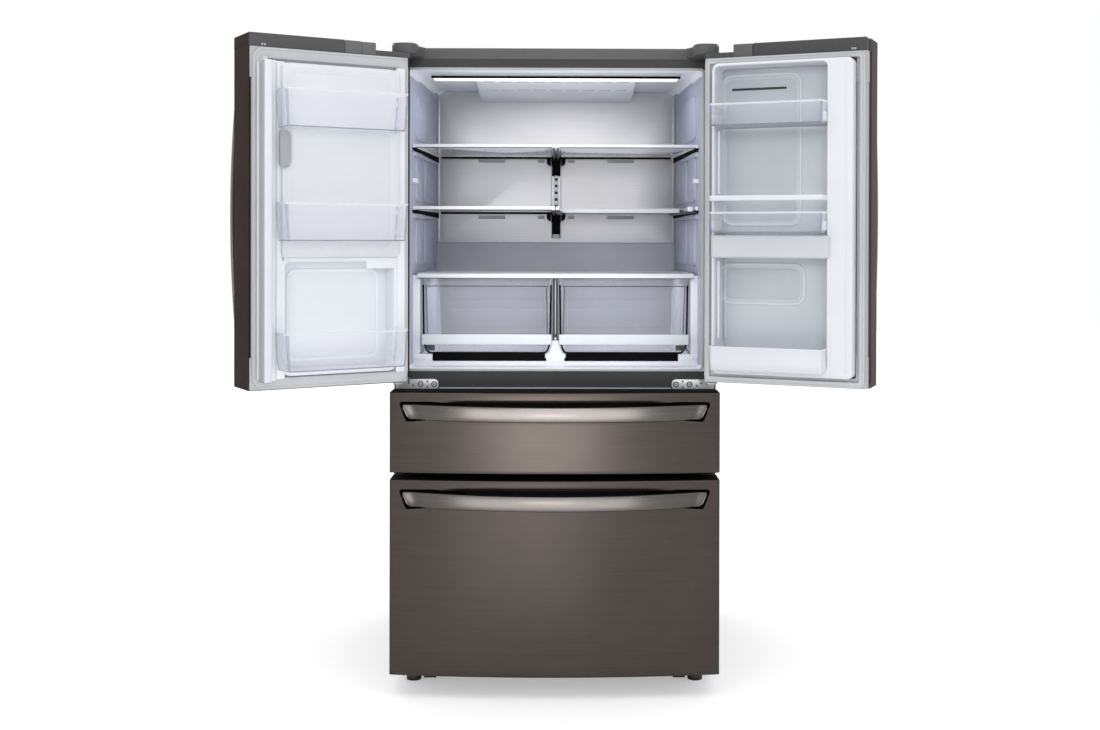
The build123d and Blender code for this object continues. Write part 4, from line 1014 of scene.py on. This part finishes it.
def door_bin(p, x0, x1, yb, yf, z0, z1, mat, ins=10.0, wall=2.6, base=None):
    """A door bin: front and sides lean out towards the top, open at the back, thick rolled lip."""
    rings_o, rings_i = [], []
    lv = [(ins, yf - 7, z0, 4), (ins * 0.8, yf - 4, z0 + 3, 8), (ins * 0.45, yf - 2.2, z0 + (z1 - z0) * 0.4, 9), (1.2, yf - 1.0, z1 - 5, 10), (0.0, yf, z1 - 3, 10), (0.0, yf, z1, 10)]

    def outline(d, y1, z, r, w):
        a, b = x0 + d + w, x1 - d - w
        y1 = y1 - w
        q = max(r - w, 0.6)
        pts = [(a, yb)]
        for i in range(6):
            t = math.radians(180 - 90 * i / 5)
            pts.append((a + q + q * math.cos(t), y1 - q + q * math.sin(t)))
        for i in range(6):
            t = math.radians(90 - 90 * i / 5)
            pts.append((b - q + q * math.cos(t), y1 - q + q * math.sin(t)))
        pts.append((b, yb))
        return [(x, y, z) for x, y in pts]

    out = [outline(d, y, z, r, 0) for d, y, z, r in lv]
    inn = [outline(d, y, (z if k < len(lv) - 1 else z + wall), r, wall) for k, (d, y, z, r) in enumerate(lv[::-1])]
    k = len(out[0])
    rings = out + inn
    verts, faces = [], []
    for r in rings:
        verts += r
    for i in range(len(rings) - 1):
        for j in range(k - 1):
            faces.append([i * k + j, i * k + j + 1, (i + 1) * k + j + 1, (i + 1) * k + j])
    faces.append(list(range(k)))
    faces.append([(len(rings) - 1) * k + j for j in range(k)][::-1])
    # close the cut ends of the side walls and the floor's back edge
    n = len(lv)
    for i in range(n - 1):
        a, b = i, len(rings) - 1 - i
        for j in (0, k - 1):
            faces.append([a * k + j, (a + 1) * k + j, (b - 1) * k + j, b * k + j])
    faces.append([0, k - 1, (len(rings) - 1) * k + k - 1, (len(rings) - 1) * k])
    p.put(verts, faces, mat)
    if mat is CLEAR:
        p.paint(lambda c, n: c.z > z1 - 4.5 and c.z < z1 + 1, LIP)
        # painted shade: the bin's bottom front band, turned corners and edges drawn darker
        p.paint(lambda c, n: c.z > z0 - 1 and c.z < z0 + 3.2 and c.y > yf - 12, CLEAR_EDGE_SHADE)
        p.paint(lambda c, n: z0 - 1 < c.z < z1 - 4.5 and 0.35 < abs(n.x) < 0.93 and n.y > 0, CLEAR_EDGE_SHADE)
        low = outline(lv[1][0], lv[1][1], z0 + 1.6, lv[1][3], 0.4)
        p.tube([low[0], *low[1:-1:2], low[-1]], 0.9, CLEAR_EDGE_SHADE, 8)
        for j in (0, -1):
            p.tube([(out[i][j][0], yb + 0.6, out[i][j][2]) for i in (1, 2, 3)], 0.7, CLEAR_EDGE_SHADE, 8)
    if base:
        p.box(x0 + ins + 2, x1 - ins - 2, yb + 1, yf - 9, z0 - 0.2, z0 + 2.0, base, 0.8, 2)


p = Piece("left_low_bin", "left_door", "L")
door_bin(p, -405, -68, 0.4, 82, 912, 1010, CLEAR)
p.make("left_door_bin", slot="clear_plastic")

p = Piece("ice_door_panel", "ice_door", "L")
p.pill(rr(-411, -84, 1200, 1700, 9), "xz", -1.5, 6.0, WHITE, 2.2, 3)
p.mould(-384, -112, 1226, 1676, 14, [(0, 5.6), (0.5, 6.3), (2.5, 6.6), (14, 6.6), (18, 6.5), (20, 5.7)], WHITE, n=5)
for z in (1545, 1600, 1258, 1312):
    p.box(-410, -398, 5.0, 12.5, z, z + 14, WHITE, 1.5, 2)
p.make("ice_door", slot="white_liner")
p = Piece("ice_door_trays", "ice_door", "L")
door_bin(p, -405, -66, 6.6, 82, 1532, 1631, CLEAR)
door_bin(p, -405, -66, 6.6, 82, 1243, 1341, CLEAR)
p.make("ice_door_bins", slot="clear_plastic")
p = Piece("ice_latch_grip", "ice_latch", "L")
p.pill(rnd([(-105, 1446, 5), (-97, 1432, 5), (-80, 1432, 3), (-75, 1438, 3), (-75, 1521, 3), (-80, 1526, 3), (-97, 1526, 5), (-105, 1516, 5)]), "xz", 7.0, 16.0, LIGHT_GREY_AND_HIGHLIGHT, 2.2, 3)
p.make("ice_latch", slot="light_plastic")

p = Piece("ice_bin", "left_door", "L")
p.tub([(-386, -108, -54, -10, 1214, 8), (-390, -104, -57, -7, 1226, 9), (-392, -102, -58, -6, 1412, 9), (-392, -102, -58, -6, 1420, 9)], 3.0, CLEAR)
p.make("ice_bucket", slot="clear_plastic")

p = Piece("mullion_bar", "flip_mullion", "L")
p.pill(rr(-40.0, -19.0, 18, 60, 3.5), "xy", 887, 1698, WHITE, 2.5, 3)
p.paint(lambda c, n: n.x > 0.6, LIGHT_GREY_AND_HIGHLIGHT)
p.box(-21, -18.6, 36, 40, 886, 1696, GALV, 0.6, 2)
p.pill(rr(-38.0, -20.6, 9, 19, 1.0), "xy", 886, 1696, SEAL, 1.0, 2)
p.pill(rr(-40.0, -19.0, 0.2, 9.5, 2.0), "xy", 887, 1698, WHITE, 1.5, 2)
p.disc(-29.5, 34, 0, 6.0, 1692, 1708, PALE, "xy", 2.0)
p.box(-38.5, -20.5, 12, 56, 1693, 1699.5, PALE, 2.5, 3)
p.box(-39, -19.5, 8, 58, 886.2, 891, GALV, 2.0, 3)
p.make("flip_mullion", slot="light_plastic")

# dispenser on the outside of the left door
p = Piece("dispenser_bay", "left_door", "L")
p.mould(-326, -134, 1004, 1336, 10, [(-2.5, -79), (-2.5, front_y(-130) + 3.2), (-0.5, front_y(-130) + 1.0), (3.0, front_y(-130) + 1.0), (3.8, front_y(-130) + 3), (3.8, -79)], GLOSS, n=5)
p.pill(rr(-328, -132, 1002, 1338, 10), "xz", -81, -78.0, SLATE_AND_SHADE, 0.8, 2)
panel = [(-327, front_y(-327) + 1.6), (-133, front_y(-133) + 1.6)]
scr = [(x, front_y(x) + 1.2) for x in [-327 + 194 * i / 12 for i in range(13)]]
p.pill(scr + [(-133, -96), (-327, -96)], "xy", 1258, 1337, GLOSS, 1.6, 3)
p.pill(rr(-318, -142, -126, -80, 12), "xy", 1003, 1009, SLATE_AND_SHADE, 1.5, 3)
for k in range(9):
    p.box(-306 + k * 18.4, -298 + k * 18.4, -120, -88, 1008, 1010.2, GALV, 0.8, 2)
p.disc(-230, -108, 0, 9.0, 1244, 1260, SLATE_AND_SHADE, "xy", 2.0)
p.disc(-230, -100, 1236, 3.0, -328, -132, GALV, "yz", 0.5)
for x in (-262, -198):
    p.box(x - 3, x + 3, -106, -80, 1230, 1246, SLATE_AND_SHADE, 1.5, 2)
for k in range(5):
    p.box(-292 + k * 28, -280 + k * 28, front_y(-230) - 0.2, front_y(-230) + 3.0, 1292, 1304, PALE, 0.4, 2)
p.make("dispenser_housing", slot="black_gloss")
p = Piece("dispenser_lever", "dispenser_paddle", "L")
rings = []
for z, w, y in ((1120, 17, -100), (1123, 20, -100.5), (1160, 22, -101), (1200, 21, -100.5), (1230, 18, -100), (1241, 15, -100)):
    rings.append([(a, b, z) for a, b in rr(-230 - w, -230 + w, y - 2.4, y + 2.4, 2.2, 3)])
p.loft(rings, SLATE_AND_SHADE)
p.disc(-230, -100, 1236, 5.5, -252, -208, SLATE_AND_SHADE, "yz", 1.0)
p.make("dispenser_paddle", slot="dark_plastic")


# ------------------------------------------------------------------ right door
door_caps("right_door_end_caps", "outer_door", "R", 1, -52.0).make("right_door_caps", slot="dark_plastic")
# the walls of the recess round the release key take the cutter's near-black material: painted shade
tool = Piece("t", "outer_door", "R")
tool.pill(rr(29.4, 54.6, 879.4, 904.6, 5), "xz", -190, -126, BLACK_AND_SHADE, 0.1, 1)
door_shell("right_door_outer", "outer_door", "R", 3, 450, -60.0).make("right_door_skin", slot="black_stainless", cut=[tool])
door_bar("right_door_bar", "outer_door", "R", 11, 53).make("right_door_handle", slot="black_stainless")
p = Piece("release_key", "release_button", "R")
p.pill(rr(30, 54, 880, 904, 4.5), "xz", -145, -133.5, DARK, 2.0, 3)
p.mould(35, 49, 885, 899, 3, [(0, -144.8), (0.6, -145.3), (1.8, -145.3), (2.4, -144.8)], LIGHT_GREY_AND_HIGHLIGHT)
p.make("release_button", slot="dark_plastic")

p = Piece("right_door_inner_panel", "outer_door", "R")
p.pill(rr(30, 446, 876, 1736, 4), "xz", -61, -54.0, LIGHT_GREY_AND_HIGHLIGHT, 0.8, 2)
p.pill(rr(84, 418, 892, 1726, 16), "xz", -56, -52.4, BLUEGREY, 1.0, 2)
WIN = [(0, -53.5), (0, -50.6), (1.2, -48.9), (3.6, -48.6), (6.0, -49.4), (6.8, -51.0), (6.8, -53.5)]
p.mould(193, 402, 1292, 1690, 24, WIN, WHITE, n=7)
p.mould(182, 405, 1080, 1179, 24, WIN, WHITE, n=7)
p.pill(rr(201, 394, 1300, 1682, 18), "xz", -53.2, -51.6, PANE, 0.6, 2)
p.pill(rr(190, 397, 1088, 1171, 18), "xz", -53.2, -51.6, PANE, 0.6, 2)
p.box(228, 379, -52.0, -49.8, 1653, 1659, SLATE_AND_SHADE, 0.8, 2)
for x in (112, 396):
    p.tube([(x, -50.5, 980), (x, -49.0, 1000), (x, -49.0, 1180), (x, -50.5, 1196)], 2.2, WHITE)
p.make("right_door_panel", slot="light_plastic")

p = Piece("right_carrier", "right_door", "R")
# grey flange ring, dark cover over its upper edge
ring_plate(p, (7.6, 443.8, 862, 1739.6, 3), (32, 416, 888, 1724, 8), -46.0, -13.8, LIGHT_GREY_AND_HIGHLIGHT)
for z0, z1 in ((862.4, 945), (1658, 1739.4)):
    p.box(5.0, 33, -40, -12.8, z0, z1, LIGHT_GREY_AND_HIGHLIGHT, 0.8, 2)
p.box(8, 310.4, -49.8, -14.2, 1739.2, 1775, CAP, 2.0, 3)
p.box(312, 365.6, -49.8, -14.0, 1739.2, 1774.6, DARK, 3.0, 3)
p.box(366, 432, -49.8, -14.2, 1739.2, 1754, CAP, 1.5, 3)
p.box(430, 443.6, -43.8, -14.2, 1739.2, 1754, CAP, 1.5, 3)
cap_pads(p, 1, -14.2)
p.make("right_frame", slot="white_liner")

q = Piece("right_dyke", "right_door", "R")
q.pill(rr(34, 409.5, 890, 1719.5, 14), "xz", -49.5, 30.0, WHITE, 5.0, 4)
hole = Piece("t", "right_door", "R")
hole.pill(rr(100, 404, 905, 1712, 14), "xz", -90, 70, WHITE, 0.1, 1)
q.make(slot="white_liner", cut=[hole])
q = Piece("right_dyke_trim", "right_door", "R")
q.mould(100.6, 403.4, 905.6, 1711.4, 13, [(-0.2, -49), (-0.2, 24), (0.6, 29.4), (2.6, 30.8), (5.6, 30.6), (7.0, 29.6), (7.0, 26), (2.0, 24), (1.8, -49)], WHITE, n=5)
q.box(40, 52, 29.0, 31.4, 905, 1706, WHITE, 1.0, 2)
for z in (1556, 1274, 912):
    q.box(396, 403.2, -20, 60, z, z + 24, WHITE, 2.0, 2)
    q.box(100.8, 108, -20, 60, z, z + 24, WHITE, 2.0, 2)
for x, z0, z1 in ((398, 985, 1192), (398, 1372, 1540)):
    q.tube([(x, 8, z0), (x, 8, (z0 + z1) / 2), (x, 8, z1)], 4.0, WHITE, 12)
for z0 in (874.5, 1745.5):
    q.disc(436, -70, 0, 9.0, z0 + 0.2, z0 + 5.3, GALV, "xy", 0.6)
    q.box(427, 434, -66, -42, z0 + 0.2, z0 + 5.3, GALV, 1.0, 2)
q.make(slot="white_liner")

p = Piece("right_door_seal", "right_door", "R")
p.mould(9.5, 442, 864.5, 1738, 16, [(0, -14), (0, -7), (-0.8, -5.0), (-2.4, -4.2), (-4.6, -4.0), (-5.6, -5.2), (-6.6, -4.0), (-13, -3.6), (-14.6, -5), (-15.2, -14)], SEAL, n=5)
p.make("right_door_gasket", slot="gasket_grey")

p = Piece("right_bins", "right_door", "R")
door_bin(p, 100, 404, -44, 82, 1549, 1608, CLEAR, 5.0, 2.6, REAR)
door_bin(p, 100, 404, -44, 82, 1267, 1322, CLEAR, 5.0, 2.6, None)
door_bin(p, 100, 404, -44, 82, 905, 968, WHITE, 4.0, 3.0, None)
p.make("right_door_bins", slot="clear_plastic")
p = Piece("right_bars", "right_door", "R")
prof = [(-44, 100), (76, 100), (82, 106), (82, 398), (76, 404), (-44, 404), (-44, 396), (70, 396), (75, 391), (75, 113), (70, 108), (-44, 108)]
p.pill(rnd([(b, a, 5 if a > 0 else 3) for a, b in prof], n=4), "xy", 1351, 1365, WHITE, 2.2, 3)
p.pill(rnd([(100, -20, 7), (404, -20, 7), (404, 36, 9), (396, 44, 9), (108, 44, 9), (100, 36, 9)]), "xy", 1200, 1261, PALE, 6.0, 4)
p.pill(rnd([(93, 31.2, 4.2), (409.5, 31.2, 4.2), (409.5, 40, 5), (404, 46, 8), (99, 46, 8), (93, 40, 5)]), "xy", 1202, 1259, PALE, 4.0, 4)
for z in (1206, 1247):
    p.box(401.5, 405.5, -10, 30, z, z + 9, WHITE, 1.5, 2)
p.make("right_crossbars", slot="light_plastic")


# ------------------------------------------------------------------ carried-over nodes
for name, ob in frame["nodes"].items():
    if ob.hide_render:
        continue
    for s in ob.material_slots:
        key = s.material.name.split(".")[0] if s.material else ""
        s.material = SLATE_AND_SHADE if name == "front_feet" else SLOT_MATS.get(key, GALV)
    w = ob.modifiers.new("weld", "WELD")
    w.merge_threshold = 0.00002
    b = ob.modifiers.new("soften", "BEVEL")
    b.width = 0.0007
    b.segments = 2
    b.limit_method = "ANGLE"
    b.angle_limit = math.radians(35)
    b.harden_normals = False

# ------------------------------------------------------------------ floor, light, camera
def plain_mat(name, col, rough):
    m, n, l, p = new_mat(name)
    f = noise(n, l, 3.0, 2.0)
    l.new(mix_col(n, l, f, col, tuple(c * 0.985 for c in col)), p.inputs["Base Color"])
    p.inputs["Roughness"].default_value = rough
    p.inputs["Specular IOR Level"].default_value = 0.2
    return m


bm = bmesh.new()
bmesh.ops.create_grid(bm, x_segments=8, y_segments=8, size=14.0)
me = bpy.data.meshes.new("floor")
bm.to_mesh(me)
bm.free()
floor = bpy.data.objects.new("floor", me)
fm = plain_mat("floor", (0.93, 0.93, 0.93), 0.7)
fn, fl = fm.node_tree.nodes, fm.node_tree.links
ftc = fn.new("ShaderNodeTexCoord")
flen = fn.new("ShaderNodeVectorMath")
flen.operation = "LENGTH"
fl.new(ftc.outputs["Object"], flen.inputs[0])
fn["Principled BSDF"].inputs["Emission Color"].default_value = (1, 1, 1, 1)
fpath = fn.new("ShaderNodeLightPath")
fmul = fn.new("ShaderNodeMath")
fmul.operation = "MULTIPLY"
fl.new(remap(fn, fl, flen.outputs["Value"], 0.38, 0.5, 0.6, 1.7), fmul.inputs[0])
fl.new(fpath.outputs["Is Camera Ray"], fmul.inputs[1])
fl.new(fmul.outputs[0], fn["Principled BSDF"].inputs["Emission Strength"])
me.materials.append(fm)
bpy.context.scene.collection.objects.link(floor)

sc = bpy.context.scene
wd = bpy.data.worlds.new("studio")
sc.world = wd
wd.use_nodes = True
wn, wl = wd.node_tree.nodes, wd.node_tree.links
wn["Background"].inputs["Color"].default_value = (1.0, 1.0, 1.0, 1)
path = wn.new("ShaderNodeLightPath")
level = wn.new("ShaderNodeMapRange")
level.inputs["To Min"].default_value = 0.80
level.inputs["To Max"].default_value = 1.0
wl.new(path.outputs["Is Camera Ray"], level.inputs["Value"])
wl.new(level.outputs["Result"], wn["Background"].inputs["Strength"])


def area(name, loc, target, sx, sy, power, col=(1, 1, 1)):
    li = bpy.data.lights.new(name, "AREA")
    li.shape, li.size, li.size_y, li.energy, li.color = "RECTANGLE", sx, sy, power, col
    ob = bpy.data.objects.new(name, li)
    ob.location = loc
    ob.rotation_euler = (Vector(target) - Vector(loc)).to_track_quat("-Z", "Y").to_euler()
    sc.collection.objects.link(ob)
    ob.visible_camera = False
    return ob


area("front_panel", (-0.14, -3.62, 0.27), (0.0, 0.0, 0.27), 0.95, 0.50, 5.6)
area("key_soft", (0.0, -6.0, 2.6), (0, -0.2, 1.0), 3.0, 1.6, 52)
area("top_soft", (0, -1.6, 4.2), (0, 0.0, 0.9), 4.0, 3.0, 25)
area("cavity_down", (0.0, 0.05, 1.705), (0.0, 0.2, 1.0), 0.7, 0.15, 0.3, (0.97, 0.98, 1.0)).visible_glossy = False
area("cavity_front", (0.0, -0.24, 1.30), (0.0, 0.4, 1.28), 0.72, 0.72, 1.55, (0.96, 0.97, 1.0)).visible_glossy = False


def only(light, *names):
    """Let one panel light just these pieces."""
    c = bpy.data.collections.new(light.name + "_on")
    for k in names:
        c.objects.link(bpy.data.objects[k])
    light.light_linking.receiver_collection = c


area("ceiling_up", (0.0, -0.08, 1.60), (0.0, -0.07, 1.8), 0.74, 0.16, 0.22, (0.97, 0.98, 1.0)).visible_glossy = False
# soft fill inside the two crispers
area("crisper_fill", (0.0, 0.14, 1.128), (0.0, 0.16, 0.9), 0.72, 0.34, 1.9, (0.96, 0.97, 1.0)).visible_glossy = False
# panels close by that only the bars, or only one drawer's front, pick up
only(area("bar_panel", (-0.04, -1.25, 0.66), (-0.04, 0.0, 0.66), 1.45, 0.6, 11.3), "mid_drawer_handle_bar")
only(area("lower_bar_panel", (-0.08, -1.25, 0.35), (-0.08, 0.0, 0.35), 1.46, 0.6, 7.6), "freezer_drawer_handle_bar")
only(area("upper_panel", (-0.06, -1.22, 0.60), (-0.06, 0.0, 0.60), 0.58, 0.45, 2.15), "mid_drawer_front_shell")
only(area("lower_panel", (-0.17, -1.22, 0.26), (-0.17, 0.0, 0.26), 0.56, 0.45, 0.56), "freezer_drawer_front_shell")
only(area("flange_panel", (0.0, -1.3, 0.55), (0.0, -0.3, 0.9), 1.2, 0.3, 3.4), "left_door_inner", "left_door_seal", "right_carrier", "right_door_seal")

cam = bpy.data.cameras.new("camera")
cam_ob = bpy.data.objects.new("camera", cam)
sc.collection.objects.link(cam_ob)
sc.camera = cam_ob
yaw, pitch, roll = math.radians(0.49), math.radians(0.36), math.radians(0.13)
fwd = Vector((math.sin(yaw) * math.cos(pitch), math.cos(yaw) * math.cos(pitch), -math.sin(pitch)))
cam_ob.location = (0.01159, -3.88983, 1.25543)
rot = fwd.to_track_quat("-Z", "Y").to_matrix() @ Matrix.Rotation(roll, 3, "Z")
cam_ob.rotation_euler = rot.to_euler()
cam.sensor_fit = "HORIZONTAL"
cam.sensor_width = 36.0
cam.lens = 1322.96 / 1100.0 * 36.0
cam.shift_x = -0.019
cam.shift_y = -0.109
cam.clip_end = 100.0
sc.view_settings.view_transform = "Standard"
